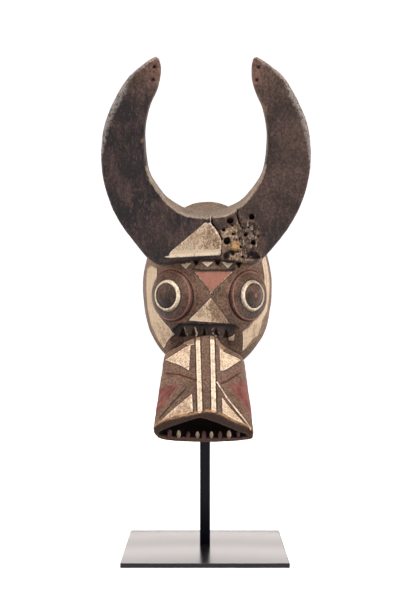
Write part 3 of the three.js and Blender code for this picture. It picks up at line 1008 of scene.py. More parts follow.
# %% Distances to the painted shapes
unpainted = -30.0
inside_mm = {colour: np.full(count, unpainted) for colour in (chalk, red, dark, ochre)}
border_mm = np.full(count, -unpainted)
for colour, chart, corners, *width in shapes:
    on, u, v = charts[chart]
    corners = np.array(corners, float) * chart_scale.get(chart, [1, 1])
    if width:
        value = width[0] / 2 - to_line(corners, u[on], v[on])
    else:
        value = -to_outline(corners, u[on], v[on])
    inside_mm[colour][on] = np.maximum(inside_mm[colour][on], value)
    if colour == chalk:
        border_mm[on] = np.where(value > -2, np.minimum(border_mm[on], np.abs(value)), border_mm[on])
for hx, hz in tip_holes:
    round_hole = tip_radius + 0.8 - np.hypot(x - hx, z - hz)[on_horns]
    inside_mm[dark][on_horns] = np.maximum(inside_mm[dark][on_horns], round_hole)
print("painted vertices", {colour: int((value > 0).sum()) for colour, value in inside_mm.items()})

# %% [markdown]
# The eyes are painted in rings, so their paint follows the distance from each eye's axis: a white ring,
# and two red lines with a dark one between them where the boss meets the face. Painted shade is added at
# the lower foot of a boss, and the dirt and painted shade are lessened on the round face beside it.

# %% Rings round the eyes
white_ring = (21.4, 26.7)
red_rings, dark_ring = ((40.6, 1.0), (45.8, 0.7)), (43.6, 0.7)
dirt_and_shade_shift = np.zeros(count)
for (radius, height), on in zip(eye_places, on_eyes):
    ring = np.minimum(radius - white_ring[0], white_ring[1] - radius)[on]
    inside_mm[chalk][on] = np.maximum(inside_mm[chalk][on], ring)
    border_mm[on] = np.where(ring > -1, 0.5, border_mm[on])
    wear[on] = 0.35
    rim = (on_hood | on) & ~inside & (height > -12) & (height < 8)
    round_boss = on_hood & (radius > 43.5) & (radius < 52) & (height > -12)
    boss_foot = on & (radius > 32) & (radius < 41)
    below_eye = np.clip((eye_height - z) / 30, 0, 1)
    # Painted shade at the lower foot of the boss, and less of the dirt and painted shade on the round face
    # beside it
    dirt_and_shade_shift += 0.25 * boss_foot * below_eye - 0.35 * round_boss
    red_lines = np.maximum(*(half - np.abs(radius - at) for at, half in red_rings))
    inside_mm[red][rim] = np.maximum(inside_mm[red], red_lines)[rim]
    inside_mm[dark][rim] = np.maximum(inside_mm[dark], dark_ring[1] - np.abs(radius - dark_ring[0]))[rim]
print("vertices on the eyes", [int(on.sum()) for on in on_eyes])

# %% [markdown]
# Other values follow the form. The blurred fields say where an edge sticks out and is rubbed bare, and
# where a corner holds dirt, darkened further as painted shade.

# %% Rubbed edges, and dirt and painted shade in corners
ridges = block.sampled(narrow, points) / cell
creases = dirt_and_shade_shift - block.sampled(wide, points) / cell
print("ridges", np.percentile(ridges, [5, 50, 90, 95, 99]).round(2))
print("creases", np.percentile(creases, [5, 50, 90, 95, 99]).round(2))

# %% [markdown]
# The tone runs from 0, where soot and years have made the wood darkest, to 1. The horns are darkest. The
# eyes are painted lighter towards the top and the wood under the brow lighter, both as painted light,
# and the recess darker in the middle, as painted shade, with more of the dirt and painted shade there. A
# few rounds of averaging soften the borders between the parts.

# %% Tone
tone = np.select([on_horns, on_eyes[0] | on_eyes[1], on_roof, on_hood], [0.0, 0.42, 0.85, 0.85], 0.6)
above_eye = z - eye_height
# Painted light: the pupils and flanks of the eyes get lighter towards the top, as if lit from above
for (radius, height), on in zip(eye_places, on_eyes):
    tone = np.where(on, np.where(radius < 20.8, 0.2 + 0.012 * above_eye, 0.45 + 0.008 * above_eye), tone)
tone = np.clip(tone, 0, 1)
tone[on_hood & (z > 575)] = 0.85
# Painted light: the wood under the brow is made lighter, with less dirt and painted shade, against the brow's
# shadow
under_brow = on_hood & (y < 0) & (z > 488) & (z < 512) & (np.abs(x - 5) < 68)
tone[under_brow] = 1.0
creases[under_brow] -= 0.35
tone[on_horns & (slab_depth > 6)] = 0.3
tips = np.clip((slab_height - 765) / 25, 0, 1)
tone = np.where(on_horns, tone + 0.3 * tips, tone)
# Painted shade in the recess: darker in its middle, with more of the dirt and painted shade there
round_recess = (z > 345) & (z < 404) & (y < -40) & (np.abs(x) < 66) & (on_hood | near_recess) & ~inside
shade = np.clip((z - 362) / 22, 0, 1) * np.clip((64 - np.abs(x + 4)) / 20, 0, 1)
tone = np.where(round_recess, 0.65 - 0.65 * shade, tone)
creases = np.where(round_recess, creases + 0.9 * shade, creases)
tone[inside] = 0.5
for _ in range(3):
    tone += 0.5 * (neighbours_mean(points, faces, tone) - tone)
print("mean tone, horns and the rest", tone[on_horns].mean().round(2), tone[~on_horns].mean().round(2))

# %% [markdown]
# Four more distances follow edges: bare wood and painted shade at the lip, dust on the horns' inner rim and
# on the crown, a painted grey sheen, a painted highlight, along the horns' outer edges, and the outline of
# the broken brow.

# %% Edges of the horns and the lip
def both_horns(line):
    """A line on the right horn, drawn on from its mirror image."""
    return np.vstack([line[:0:-1] * [-1, 1], line])


lip_start = 160.5
lip_mm = np.where(on_roof & ~inside, along * snout_length - lip_start, unpainted)
from_rim = to_line(both_horns(inner), x - horn_x, slab_height)
rim_mm = np.where(on_horns & (slab_height < 660), 4 - from_rim, unpainted)
rim_mm = np.where(slab_depth > 4, rim_mm + 8, rim_mm)
crown = on_hood & ~inside & (z > 572)
rim_mm = np.where(crown, np.minimum(np.minimum(z - 574, (90 - y) / 3), 1.5), rim_mm)
# The sheen is a painted highlight: a grey band along the horns' outer edges, wider near the tips
from_edge = to_line(both_horns(outer), x - horn_x, slab_height)
near_tip = np.clip((slab_height - 690) / 50, 0, 1)
sheen_width = np.where(x < 0, 8.5 + 4.5 * near_tip, 9.5 + 2 * near_tip)
sheen_width *= np.clip((slab_height - 630) / 60, 0, 1) * (1 - 0.5 * tips)
painted_sheen_mm = np.where(on_horns & (slab_depth < 12), sheen_width - from_edge, unpainted)
damage_mm = np.where(slab_front, -to_outline(damage, x, slab_height), unpainted)
print("vertices on the lip", int((lip_mm > 0).sum()), "with sheen", int((painted_sheen_mm > 0).sum()))

# %% [markdown]
# All these values are stored as attributes of the mesh, where the shader can read them by name.

# %% Values stored on the mesh
values = dict(
    chalk=inside_mm[chalk], border=border_mm, red=inside_mm[red], dark=inside_mm[dark],
    ochre=inside_mm[ochre], tone=tone, ridges=ridges, creases=creases, damage=damage_mm,
    bare=inside.astype(float), lip=lip_mm, rim=rim_mm, painted_sheen=painted_sheen_mm, wear=wear,
)
for name, value in values.items():
    layer = mask.data.attributes.new(name, "FLOAT", "POINT")
    layer.data.foreach_set("value", value.astype(np.float32))
mask.data.polygons.foreach_set("use_smooth", np.ones(len(faces), bool))
print("attributes", {name: [round(float(v.min()), 1), round(float(v.max()), 1)]
                     for name, v in values.items()})

# %% [markdown]
# ## Teeth
# The teeth are one rounded peg repeated along the lower lip, each at its place across the snout.

# %% Places of the teeth
tooth_places = [-55, -41, -26, -11.5, -1.5, 10, 23.5, 37.5, 52]
white_teeth = [-41, -11.5, 10, 37.5]
teeth_along, teeth_deep, lip_bow = 0.985, 49.5, 0.0012


def snout_point(along, across, depth):
    """A point of the snout in millimetres, from its chart."""
    return np.array([
        across,
        ridge_root[0] + along * run_y + depth * down_y,
        ridge_root[1] + along * run_z + depth * down_z,
    ])


places = [snout_point(teeth_along, at, teeth_deep - lip_bow * at * at) for at in tooth_places]
print("teeth", len(places), "from", places[0].round(1), "to", places[-1].round(1))

# %% [markdown]
# Geometry nodes set the peg on each point. Its size, how much the sizes differ and the seed are inputs of
# the tree, and the paint stored on each point is carried over to its peg.

# %% One peg repeated
def teeth_group(material):
    group = bpy.data.node_groups.new("teeth", "GeometryNodeTree")
    group.interface.new_socket("Geometry", in_out="INPUT", socket_type="NodeSocketGeometry")
    for name, value in (("Width", 0.0086), ("Length", 0.018), ("Unevenness", 0.15)):
        socket = group.interface.new_socket(name, in_out="INPUT", socket_type="NodeSocketFloat")
        socket.default_value = value
    seed = group.interface.new_socket("Seed", in_out="INPUT", socket_type="NodeSocketInt")
    seed.default_value = 7
    group.interface.new_socket("Geometry", in_out="OUTPUT", socket_type="NodeSocketGeometry")
    nodes, links = group.nodes, group.links
    given = nodes.new("NodeGroupInput")
    # A round peg of one metre, and the size that each one gets
    peg = nodes.new("GeometryNodeMeshIcoSphere")
    peg.inputs["Radius"].default_value = 0.5
    peg.inputs["Subdivisions"].default_value = 3
    size = nodes.new("ShaderNodeCombineXYZ")
    links.new(given.outputs["Width"], size.inputs["X"])
    links.new(given.outputs["Width"], size.inputs["Y"])
    links.new(given.outputs["Length"], size.inputs["Z"])
    # Each size is between 1 - unevenness and 1 + unevenness of that
    least = nodes.new("ShaderNodeMath")
    least.operation = "SUBTRACT"
    least.inputs[0].default_value = 1.0
    links.new(given.outputs["Unevenness"], least.inputs[1])
    most = nodes.new("ShaderNodeMath")
    most.inputs[0].default_value = 1.0
    links.new(given.outputs["Unevenness"], most.inputs[1])
    vary = nodes.new("FunctionNodeRandomValue")
    links.new(least.outputs[0], vary.inputs[2])
    links.new(most.outputs[0], vary.inputs[3])
    links.new(given.outputs["Seed"], vary.inputs["Seed"])
    scale = nodes.new("ShaderNodeVectorMath")
    scale.operation = "SCALE"
    links.new(size.outputs[0], scale.inputs[0])
    links.new(vary.outputs[1], scale.inputs["Scale"])
    # Every peg leans with the mouth, is made real and gets the wood's material
    turn = nodes.new("FunctionNodeEulerToRotation")
    turn.inputs[0].default_value = (tilt, 0, 0)
    place = nodes.new("GeometryNodeInstanceOnPoints")
    links.new(given.outputs["Geometry"], place.inputs["Points"])
    links.new(peg.outputs["Mesh"], place.inputs["Instance"])
    links.new(turn.outputs[0], place.inputs["Rotation"])
    links.new(scale.outputs[0], place.inputs["Scale"])
    real = nodes.new("GeometryNodeRealizeInstances")
    links.new(place.outputs[0], real.inputs[0])
    paint = nodes.new("GeometryNodeSetMaterial")
    paint.inputs["Material"].default_value = material
    links.new(real.outputs[0], paint.inputs["Geometry"])
    result = nodes.new("NodeGroupOutput")
    links.new(paint.outputs[0], result.inputs[0])
    return group


print("the tree is built further down, once the wood's material is made")

# %% [markdown]
# ## Painted wood
# One material holds the whole surface: soot-dark patina over brown wood, white clay, red earth, bare
# wood where the brow broke, and dirt with painted shade in the corners. The stored distances say where
# each colour starts, and noise moves and wears its edge. A material needs many nodes, so a few short
# calls add them.

# %% Small helpers for shader nodes
def linear(r, g, b):
    """An sRGB colour from 0 to 255 as the shader's linear one."""
    parts = [v / 255 for v in (r, g, b)]
    return [v / 12.92 if v < 0.04045 else ((v + 0.055) / 1.055) ** 2.4 for v in parts] + [1.0]


class Shader:
    """A material whose nodes are added by short calls. Each call returns an output socket."""

    def __init__(self, name):
        self.material = bpy.data.materials.new(name)
        self.material.use_nodes = True
        self.tree = self.material.node_tree
        self.surface = self.tree.nodes["Principled BSDF"]
        place = self.tree.nodes.new("ShaderNodeTexCoord").outputs["Object"]
        self.object_mm = self.scaled(place, (1 / MM,) * 3)

    def put(self, node, socket, value):
        if isinstance(value, bpy.types.NodeSocket):
            self.tree.links.new(value, node.inputs[socket])
        else:
            node.inputs[socket].default_value = value

    def scaled(self, vector, factors):
        node = self.tree.nodes.new("ShaderNodeVectorMath")
        node.operation = "MULTIPLY"
        self.put(node, 0, vector)
        self.put(node, 1, factors)
        return node.outputs[0]

    def stored(self, name):
        """A value stored on the mesh."""
        node = self.tree.nodes.new("ShaderNodeAttribute")
        node.attribute_name = name
        return node.outputs["Fac"]

    def along(self, axis):
        """The place along one axis, in millimetres."""
        node = self.tree.nodes.new("ShaderNodeSeparateXYZ")
        self.put(node, 0, self.object_mm)
        return node.outputs[axis]

    def noise(self, size, detail=3.0, stretch=(1, 1, 1), rough=0.55):
        """Noise from 0 to 1 with features of size millimetres, longer where stretch is above 1."""
        node = self.tree.nodes.new("ShaderNodeTexNoise")
        self.put(node, "Vector", self.scaled(self.object_mm, [1 / (size * s) for s in stretch]))
        self.put(node, "Scale", 1.0)
        self.put(node, "Detail", detail)
        self.put(node, "Roughness", rough)
        return node.outputs["Fac"]

    def maths(self, operation, a, b=0.0):
        node = self.tree.nodes.new("ShaderNodeMath")
        node.operation = operation
        self.put(node, 0, a)
        self.put(node, 1, b)
        return node.outputs[0]

    def plus(self, a, b):
        return self.maths("ADD", a, b)

    def minus(self, a, b):
        return self.maths("SUBTRACT", a, b)

    def times(self, a, b):
        return self.maths("MULTIPLY", a, b)

    def step(self, value, low, high):
        """0 below low, 1 above high and a smooth run between."""
        node = self.tree.nodes.new("ShaderNodeMapRange")
        node.interpolation_type = "SMOOTHSTEP"
        self.put(node, "Value", value)
        self.put(node, "From Min", low)
        self.put(node, "From Max", high)
        return node.outputs[0]

    def mix(self, share, a, b, blend="MIX"):
        """A colour that goes from a to b with share."""
        node = self.tree.nodes.new("ShaderNodeMix")
        node.data_type = "RGBA"
        node.blend_type = blend
        self.put(node, 0, share)
        self.put(node, 6, a)
        self.put(node, 7, b)
        return node.outputs[2]

    def blend(self, share, a, b):
        """A number that goes from a to b with share."""
        node = self.tree.nodes.new("ShaderNodeMix")
        self.put(node, 0, share)
        self.put(node, 2, a)
        self.put(node, 3, b)
        return node.outputs[0]

    def bump(self, height, distance):
        """The normal of a surface that is raised by height times a distance in metres."""
        node = self.tree.nodes.new("ShaderNodeBump")
        self.put(node, "Height", height)
        self.put(node, "Distance", distance)
        self.put(node, "Strength", 1.0)
        return node.outputs[0]

    def finish(self, colour, roughness, normal):
        self.put(self.surface, "Base Color", colour)
        self.put(self.surface, "Roughness", roughness)
        self.put(self.surface, "Normal", normal)
        return self.material


print("middle grey in linear light:", round(linear(128, 128, 128)[0], 3))

# %% [markdown]
# The wood needs noise of many sizes: fine and coarse grain along the block, mottling, specks and large
# clouds. The wobble, from two of them, makes the edge of a painted shape waver.

# %% Noises of the wood
wood = Shader("painted_wood")
fine = wood.noise(1.6, 4)
mid = wood.noise(6, 4)
broad = wood.noise(38, 3)
fibre = wood.noise(2.2, 4, stretch=(1, 1, 12))
streak = wood.noise(9, 4, stretch=(1, 1, 5))
mottle = wood.noise(3.6, 5, rough=0.72)
specks = wood.noise(2.4, 3, rough=0.7)
cloud = wood.noise(75, 2)
wobble_reach = 2.0
wobble = wood.minus(wood.plus(wood.times(mid, 2.4), wood.times(fine, 1.6)), wobble_reach)
across_mm = wood.along("X")
height_mm = wood.along("Z")
tone_value = wood.stored("tone")
wear_value = wood.stored("wear")
print("nodes for noise and places", len(wood.tree.nodes))

# %% [markdown]
# The colours are laid in the order a painter would work: dark patina and rubbed wood first, then the
# broken brow, the clay, the red earth and the dark lines, and dirt with painted shade last of all. Three
# helpers lay a colour over another, make a shape's edge waver and raise the noise where the paint is worn.

# %% Laying one colour over another
def over(share, strength, below, above):
    """A colour laid over another where share is high, no stronger than strength."""
    return wood.mix(wood.times(share, strength), below, above)


def wavering(name, rough):
    """A stored distance whose zero line wavers by rough times the wobble."""
    return wood.plus(wood.stored(name), wood.times(wobble, rough))


def painted_area(name, rough, soft=0.4):
    """Where a colour was painted, with a soft edge of so many millimetres to each side."""
    return wood.step(wavering(name, rough), -soft, soft)


def with_wear(value, amount):
    """Noise raised where the paint has been handled more."""
    return wood.plus(value, wood.times(wear_value, amount))


chalk_waver = 0.8
print("the chalk's edge wavers by up to", chalk_waver * wobble_reach, "mm")

# %% [markdown]
# The patina goes from soot to brown with the tone. The left horn is black at its outer edge and the right
# one browner above, and streaks, spots, light fibres and dark pits break it up.

# %% Patina
soot, brown = linear(28, 19, 22), linear(119, 91, 73)
cloud_brown, stain, streak_brown = linear(97, 74, 62), linear(60, 42, 39), linear(84, 67, 60)
light_fibre, dark_pit, bare_edge = linear(142, 122, 106), linear(22, 17, 18), linear(142, 112, 90)
patina = wood.mix(tone_value, soot, brown)
brown_cloud = wood.times(wood.step(cloud, 0.44, 0.56), wood.step(across_mm, -160, 100))
right_brown = wood.blend(wood.step(height_mm, 560, 700), 0.4, 0.85)
brown_cloud = wood.blend(wood.step(across_mm, 0, 170), brown_cloud, right_brown)
patina = over(brown_cloud, 0.5, patina, cloud_brown)
patina = over(wood.step(broad, 0.48, 0.6), 0.35, patina, stain)
patina = over(wood.step(streak, 0.5, 0.62), 0.3, patina, streak_brown)
swing = wood.blend(tone_value, 0.5, 0.42)
spots = wood.blend(wood.step(mottle, 0.38, 0.62), wood.minus(1.0, swing), wood.plus(1.0, swing))
patina = wood.mix(1.0, patina, spots, "MULTIPLY")
patina = wood.mix(1.0, patina, wood.blend(wood.step(broad, 0.4, 0.6), 0.7, 1.25), "MULTIPLY")
fibres = wood.times(wood.step(fibre, 0.56, 0.68), wood.blend(tone_value, 0.2, 0.42))
patina = wood.mix(fibres, patina, light_fibre)
pits = wood.times(wood.step(specks, 0.56, 0.66), wood.blend(tone_value, 0.4, 0.55))
patina = wood.mix(pits, patina, dark_pit)
rubbed = wood.step(wood.plus(wood.stored("ridges"), wood.times(mid, 0.5)), 0.62, 0.85)
colour = over(rubbed, 0.55, patina, bare_edge)
print("nodes with the patina", len(wood.tree.nodes))

# %% [markdown]
# Dust lies on the horns' inner rim and on the crown. The inner sides of the tips are stained reddish, the
# horns' outer edges get a painted grey sheen, a painted highlight, the lip is dark with lighter corners,
# its front partly as painted shade, and the hollow is plain wood that gets darker towards the mouth, as
# painted shade.

# %% Horns, lip and hollow
dark_dust, light_dust, tip_red = linear(128, 111, 98), linear(174, 154, 134), linear(122, 86, 74)
sheen_grey = linear(168, 156, 148)
lip_corner, lip_shade = linear(98, 66, 51), linear(54, 35, 28)
mouth_shade, plain_wood = linear(15, 11, 15), linear(58, 43, 34)
dust = wood.mix(wood.step(mottle, 0.4, 0.6), dark_dust, light_dust)
colour = over(wood.step(wavering("rim", 1.4), 0.5, 2.5), 0.7, colour, dust)
tip_stain = wood.times(wood.step(height_mm, 755, 800), wood.step(mid, 0.38, 0.58))
outer_side = wood.step(wood.maths("ABSOLUTE", across_mm), 86, 102)
colour = over(wood.minus(tip_stain, outer_side), 0.5, colour, tip_red)
# A painted highlight: grey sheen along the horns' outer edges
painted_sheen = wood.times(wood.step(wavering("painted_sheen", 3.5), 0.0, 6.0), wood.step(mottle, 0.36, 0.54))
colour = over(painted_sheen, 0.6, colour, sheen_grey)
lip_value = wavering("lip", 1.2)
# The lip's front is painted dark, partly as painted shade, and lighter below 230 mm
lip_colour = wood.mix(wood.step(height_mm, 230, 238), lip_corner, lip_shade)
colour = over(wood.step(lip_value, 0.0, 2.0), 0.88, colour, lip_colour)
# Painted shade: the hollow turns near black below 300 mm, towards the mouth
bare_colour = wood.mix(wood.step(height_mm, 300, 340), mouth_shade, plain_wood)
colour = over(wood.stored("bare"), 0.85, colour, bare_colour)
print("nodes with the horns, the lip and the hollow", len(wood.tree.nodes))

# %% [markdown]
# Where the brow broke, torn fibres are light and the gaps between them dark. A patch of ochre, from an
# old repair or from the insects' dust, clings there.

# %% Broken brow
torn_left, torn_right, torn_dark = linear(170, 136, 106), linear(112, 88, 76), linear(44, 32, 28)
gap_dark, torn_fibre, ochre_dust = linear(30, 21, 20), linear(214, 186, 156), linear(186, 144, 92)
torn_light = wood.mix(wood.step(across_mm, 44, 62), torn_left, torn_right)
torn = wood.mix(wood.step(mid, 0.42, 0.56), torn_dark, torn_light)
torn = over(wood.step(mottle, 0.52, 0.62), 0.6, torn, gap_dark)
torn = over(wood.step(fibre, 0.54, 0.64), 0.7, torn, torn_fibre)
colour = over(wood.step(wood.stored("damage"), -2, 3), 0.8, colour, torn)
ochre_area = wood.times(painted_area("ochre", 2.5, 1.5), wood.step(mottle, 0.36, 0.5))
colour = over(ochre_area, 0.85, colour, ochre_dust)
print("nodes with the broken brow", len(wood.tree.nodes))

# %% [markdown]
# The clay was painted on thick. It is lightest along its border, is stained in streaks, mottles and
# specks, and is gone where the noise and the wear are highest. A dark line was drawn round each shape
# first, and a thin brown film stays where the clay has worn away.

# %% White clay
border_clay, middle_clay = linear(236, 215, 190), linear(218, 192, 163)
drawn_line, brown_film = linear(36, 26, 23), linear(136, 102, 78)
stains = [
    (streak, 0.25, 0.57, 0.72, 0.55, linear(176, 140, 110)),
    (mottle, 0.25, 0.61, 0.72, 0.6, linear(140, 108, 84)),
    (specks, 0.25, 0.64, 0.76, 0.6, linear(92, 70, 56)),
    (fibre, 0.1, 0.63, 0.7, 0.6, linear(104, 78, 58)),
]
clay = wood.mix(wood.step(wood.stored("border"), 0.8, 3.2), border_clay, middle_clay)
for pattern, wear_share, low, high, strength, stain_colour in stains:
    clay = over(wood.step(with_wear(pattern, wear_share), low, high), strength, clay, stain_colour)
worn = wood.step(with_wear(wood.plus(mottle, wood.times(fibre, 0.5)), 0.25), 0.99, 1.05)
chalk_area = painted_area("chalk", chalk_waver)
clay_area = wood.times(chalk_area, wood.minus(1.0, worn))
drawn = wood.minus(wood.step(wood.stored("chalk"), -2.6, -1.0), chalk_area)
colour = over(drawn, 0.5, colour, drawn_line)
colour = over(chalk_area, 0.75, colour, brown_film)
colour = wood.mix(clay_area, colour, clay)
print("nodes with the clay", len(wood.tree.nodes))

# %% [markdown]
# The red earth is dull on the snout, lighter on the face and lightest in the triangle between the eyes.
# Dark lines go over it. The lip's front edge is rubbed to orange wood, and dirt with painted shade fills
# the corners.

# %% Red earth, dark lines, dirt and painted shade
dark_red, dull_red, light_red = linear(98, 50, 46), linear(124, 74, 66), linear(184, 126, 106)
red_speck, line_soot, orange_wood, dirt_and_shade_dark = (
    linear(74, 46, 42), linear(34, 22, 20), linear(176, 128, 88), linear(24, 17, 16)
)
earth = wood.mix(wood.step(streak, 0.42, 0.6), dark_red, dull_red)
beside_triangle = wood.step(wood.maths("ABSOLUTE", wood.minus(across_mm, 14)), 30, 33)
between_eyes = wood.minus(wood.step(height_mm, 452, 460), beside_triangle)
earth = over(wood.step(height_mm, 400, 408), 0.36, earth, light_red)
earth = over(between_eyes, 0.38, earth, light_red)
earth = over(wood.step(specks, 0.52, 0.64), 0.4, earth, red_speck)
colour = over(painted_area("red", 0.5), 0.92, colour, earth)
lines = painted_area("dark", 0.3)
colour = over(lines, 0.85, colour, line_soot)
lip_rub = wood.minus(wood.step(lip_value, -4.5, -2.5), wood.step(lip_value, -0.5, 1.0))
colour = over(wood.times(lip_rub, wood.step(mid, 0.35, 0.55)), 0.75, colour, orange_wood)
# Dirt in the corners, with painted shade there, in the recess and at the lower foot of the eyes
dirt_and_shade = wood.step(wood.plus(wood.stored("creases"), wood.times(mid, 0.3)), 0.3, 1.1)
colour = wood.mix(wood.times(dirt_and_shade, wood.blend(clay_area, 0.88, 0.35)), colour, dirt_and_shade_dark)
print("nodes with the red earth, the lines and the dirt", len(wood.tree.nodes))

# %% [markdown]
# Sooty wood has a faint gloss and clay has none. A small bump follows the grain, gives the clay its
# thickness and sinks the dark lines.

# %% Gloss and relief
roughness = wood.blend(clay_area, wood.blend(tone_value, 0.42, 0.68), 0.85)
wood.surface.inputs["Specular IOR Level"].default_value = 0.2
height = wood.plus(wood.times(fibre, 0.5), wood.times(fine, 0.5))
height = wood.plus(height, wood.times(mottle, 0.8))
height = wood.plus(height, wood.times(clay_area, 0.4))
height = wood.minus(height, wood.times(lines, 1.2))
carved_wood = wood.finish(colour, roughness, wood.bump(height, 0.0014))
mask.data.materials.append(carved_wood)
print("nodes in the finished material", len(wood.tree.nodes))

# %% [markdown]
# The teeth stand on the lower lip, four in white clay and the others in red earth, darkened by the dark
# paint partly as painted shade. Each point of the mesh that carries them stores the same values as the
# mask does, so that one material serves both.

# %% Paint of the teeth
seeds = bpy.data.meshes.new("tooth_places")
seeds.from_pydata([list(p * MM) for p in places], [], [])
# The red teeth also get the dark paint, partly as painted shade
tooth_paint = dict(chalk=(3.0, unpainted), red=(unpainted, 0.1), dark=(unpainted, 0.0))
tooth_values = dict(
    border=0.5, ochre=unpainted, tone=0.0, ridges=0.0, creases=0.0, damage=unpainted, bare=0.0,
    lip=unpainted, rim=unpainted, painted_sheen=unpainted, wear=0.6,
)
for name, (white, other) in tooth_paint.items():
    layer = seeds.attributes.new(name, "FLOAT", "POINT")
    layer.data.foreach_set("value", [white if at in white_teeth else other for at in tooth_places])
for name, value in tooth_values.items():
    layer = seeds.attributes.new(name, "FLOAT", "POINT")
    layer.data.foreach_set("value", [value] * len(tooth_places))
print("values that the teeth lack:", sorted(set(values) - set(seeds.attributes.keys())))

# %% [markdown]
# The modifier's inputs are set by their identifiers. Its result becomes a plain mesh and is joined to the
# mask, because the carver left the teeth standing on the same block.

# %% Teeth in place
teeth = bpy.data.objects.new("lip_teeth", seeds)
bpy.context.collection.objects.link(teeth)
group = teeth_group(carved_wood)
modifier = teeth.modifiers.new("teeth", "NODES")
modifier.node_group = group
sockets = {item.name: item.identifier for item in group.interface.items_tree if item.in_out == "INPUT"}
for name, value in {"Width": 0.0068, "Length": 0.0155, "Unevenness": 0.12, "Seed": 7}.items():
    modifier[sockets[name]] = value
plain_copy(teeth)
teeth.data.polygons.foreach_set("use_smooth", np.ones(len(teeth.data.polygons), bool))
print("teeth", len(tooth_places), "with", len(teeth.data.polygons), "faces")

with bpy.context.temp_override(active_object=mask, selected_editable_objects=[mask, teeth],
                               selected_objects=[mask, teeth], object=mask):
    bpy.ops.object.join()
print("mask and teeth", len(mask.data.polygons), "faces")
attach(mask, "root")
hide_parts("mask", "lower_jaw")

# %% [markdown]
# ## The stand
# The stand is blackened steel: a square bar on a flat plate, with edges that were only just broken with
# a file. It is drawn again over the frame's boxes, with those edges rounded so that they catch light.
# The plate's top and its edge are lit and shaded copies of one steel: the top's reflects more, so that it
# mirrors what is behind it, and the edge's is duller and darker, as painted shade.

# %% Black steel
def black_steel(name, dark_tone, light_tone, rough, gloss):
    """Steel brushed along X, clouded between two tones. Gloss is its index of refraction."""
    steel = Shader(name)
    steel.surface.inputs["IOR"].default_value = gloss
    brushed = steel.noise(0.8, 3, stretch=(40, 1, 1))
    cloud = steel.noise(30, 4)
    tones = steel.mix(steel.step(cloud, 0.4, 0.6), dark_tone, light_tone)
    return steel.finish(tones, steel.blend(cloud, rough, rough + 0.06), steel.bump(brushed, 0.00002))


bar_steel = black_steel("bar_steel", linear(7, 5, 14), linear(12, 9, 20), 0.34, 1.18)
# Lit and shaded copies of one steel: the top's reflects more, the edge's is darker and duller
lit_plate_steel = black_steel("lit_plate_steel", linear(20, 16, 22), linear(26, 21, 27), 0.15, 1.6)
shaded_edge_steel = black_steel("shaded_plate_edge_steel", linear(20, 13, 22), linear(26, 18, 27), 0.2, 1.3)
print("steels", bar_steel.name, lit_plate_steel.name, shaded_edge_steel.name)

# %% [markdown]
# Bar and plate are boxes of exactly the frame's size, with their edges filed round. The faces round the
# plate's edge stand upright, which tells them from its top and underside.

# %% Bar and plate
def filed_box(name, node, radius, material):
    """A node's box with rounded edges, riding and replacing that node."""
    low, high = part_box(node)
    size = high - low
    shape = bmesh.new()
    bmesh.ops.create_cube(shape, size=1.0)
    for vertex in shape.verts:
        vertex.co = [low[i] + size[i] * (vertex.co[i] + 0.5) for i in range(3)]
    bmesh.ops.bevel(shape, geom=shape.edges[:], offset=radius, segments=3, profile=0.5, affect="EDGES")
    mesh = bpy.data.meshes.new(name)
    shape.to_mesh(mesh)
    shape.free()
    mesh.polygons.foreach_set("use_smooth", np.ones(len(mesh.polygons), bool))
    mesh.set_sharp_from_angle(angle=math.radians(25))
    mesh.materials.append(material)
    piece = bpy.data.objects.new(name, mesh)
    bpy.context.collection.objects.link(piece)
    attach(piece, "root")
    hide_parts(node)
    return piece


bar = filed_box("steel_bar", "upright_bar", 0.0005, bar_steel)
plate = filed_box("steel_plate", "base_plate", 0.0004, lit_plate_steel)
# The upright faces of the plate's edge get the darker copy of its steel, as painted shade
plate.data.materials.append(shaded_edge_steel)
for face in plate.data.polygons:
    face.material_index = int(abs(face.normal.z) < 0.5)
print("bar and plate", len(bar.data.polygons), len(plate.data.polygons), "faces")

# %% [markdown]
# ## Studio
# The floor and four sides make a plain pale room that throws no light on the wood.

# %% Floor and sides
white, pale_grey, black = (1, 1, 1, 1), (0.8, 0.8, 0.8, 1), (0, 0, 0, 1)
half, tall = 6, 5


def plain(name, points, glow, tint=white, base=pale_grey):
    """A flat sheet that glows evenly."""
    mesh = bpy.data.meshes.new(name)
    mesh.from_pydata(points, [], [(0, 1, 2, 3)])
    material = bpy.data.materials.new(name)
    material.use_nodes = True
    surface = material.node_tree.nodes["Principled BSDF"]
    surface.inputs["Base Color"].default_value = base
    surface.inputs["Roughness"].default_value = 0.9
    surface.inputs["Emission Color"].default_value = tint
    surface.inputs["Emission Strength"].default_value = glow
    mesh.materials.append(material)
    obj = bpy.data.objects.new(name, mesh)
    bpy.context.collection.objects.link(obj)
    return obj


floor = plain("floor", [(-half, -half, 0), (half, -half, 0), (half, half, 0), (-half, half, 0)], 1.0)
floor.visible_diffuse = False
for turn in (0, 90, 180, 270):
    c, t = math.cos(math.radians(turn)), math.sin(math.radians(turn))
    corners = [(-half, half, 0), (half, half, 0), (half, half, tall), (-half, half, tall)]
    side = plain(f"side_{turn}", [(c * x - t * y, t * x + c * y, z) for x, y, z in corners], 1.0)
    side.visible_diffuse = False
    side.visible_glossy = False

# %% [markdown]
# Cards behind the stand, brighter towards the top, are seen in reflections alone. They give the plate its
# even sheen, as a pale wall would.

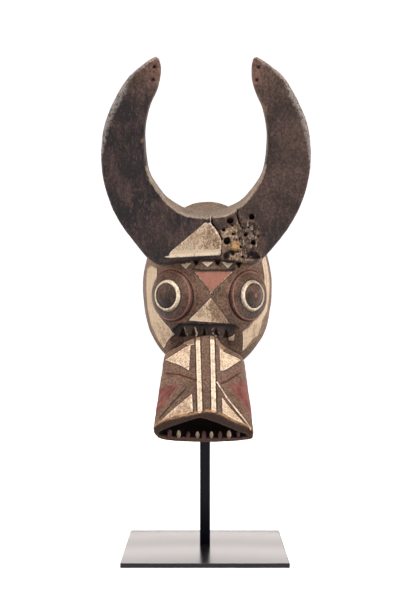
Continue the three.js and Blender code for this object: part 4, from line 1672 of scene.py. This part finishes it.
# %% Cards behind the stand
card_half, card_y, card_tint = 1.1, 0.7, (1, 0.93, 0.9, 1)
card_edges = [0, 0.17, 0.19, 0.21, 0.225, 0.24, 0.255, 0.8]
card_glows = [1.95, 2.05, 2.3, 2.5, 2.8, 3.3, 3.65]
for low, high, glow in zip(card_edges, card_edges[1:], card_glows):
    corners = [(x, card_y, z) for x, z in
               ((-card_half, low), (card_half, low), (card_half, high), (-card_half, high))]
    card = plain(f"card_{low}", corners, glow, card_tint, black)
    card.visible_camera = False
    card.visible_diffuse = False
    card.visible_shadow = False
print("cards", len(card_glows))

# %% [markdown]
# The lamps are large and soft. Those at the sides stay out of reflections, so that no white patch hides
# the plate.

# %% Lamps
face, chin = (0, 0, 0.5), (0, 0, 0.45)


def softbox(name, place, target, size, power):
    """A rectangular lamp at a place, turned to its target."""
    light = bpy.data.lights.new(name, "AREA")
    light.shape = "RECTANGLE"
    light.size, light.size_y = size
    light.energy = power
    lamp = bpy.data.objects.new(name, light)
    lamp.location = place
    lamp.rotation_euler = (Vector(target) - Vector(place)).to_track_quat("-Z", "Y").to_euler()
    bpy.context.collection.objects.link(lamp)
    return lamp


top = softbox("top", (0, -0.9, 1.9), face, (1.1, 0.8), 31)
left = softbox("left", (-1.7, -0.55, 0.8), face, (0.7, 1.1), 30)
right = softbox("right", (1.8, -0.6, 0.8), face, (0.7, 1.1), 41)
front = softbox("front", (0, -1.7, 0.3), chin, (0.6, 0.4), 5)
left.visible_glossy = False
right.visible_glossy = False
print("lamps, W:", {lamp.name: lamp.data.energy for lamp in (top, left, right, front)})

# %% [markdown]
# A faint even light fills the shadows, and colours are shown as they are, with no film look.

# %% Fill light
world = bpy.data.worlds.new("studio")
world.use_nodes = True
world.node_tree.nodes["Background"].inputs["Color"].default_value = (1, 1, 1, 1)
world.node_tree.nodes["Background"].inputs["Strength"].default_value = 0.04
bpy.context.scene.world = world
bpy.context.scene.view_settings.view_transform = "Standard"
print("view transform", bpy.context.scene.view_settings.view_transform)

# %% [markdown]
# The camera stands where the photographer's did: level, 1.475 m in front of the origin and at the height
# of the face. Its focal length is 835 pixels, of which the sensor's 36 mm hold 602.

# %% Camera
focal_px, picture_px, sensor_mm = 835, 602, 36
lens = bpy.data.cameras.new("camera")
lens.lens = focal_px * sensor_mm / picture_px
camera = bpy.data.objects.new("camera", lens)
camera.location = (0, -1.475, 0.440)
camera.rotation_euler = (math.radians(90), 0, 0)
bpy.context.collection.objects.link(camera)
bpy.context.scene.camera = camera
print("lens, mm:", round(lens.lens, 1))
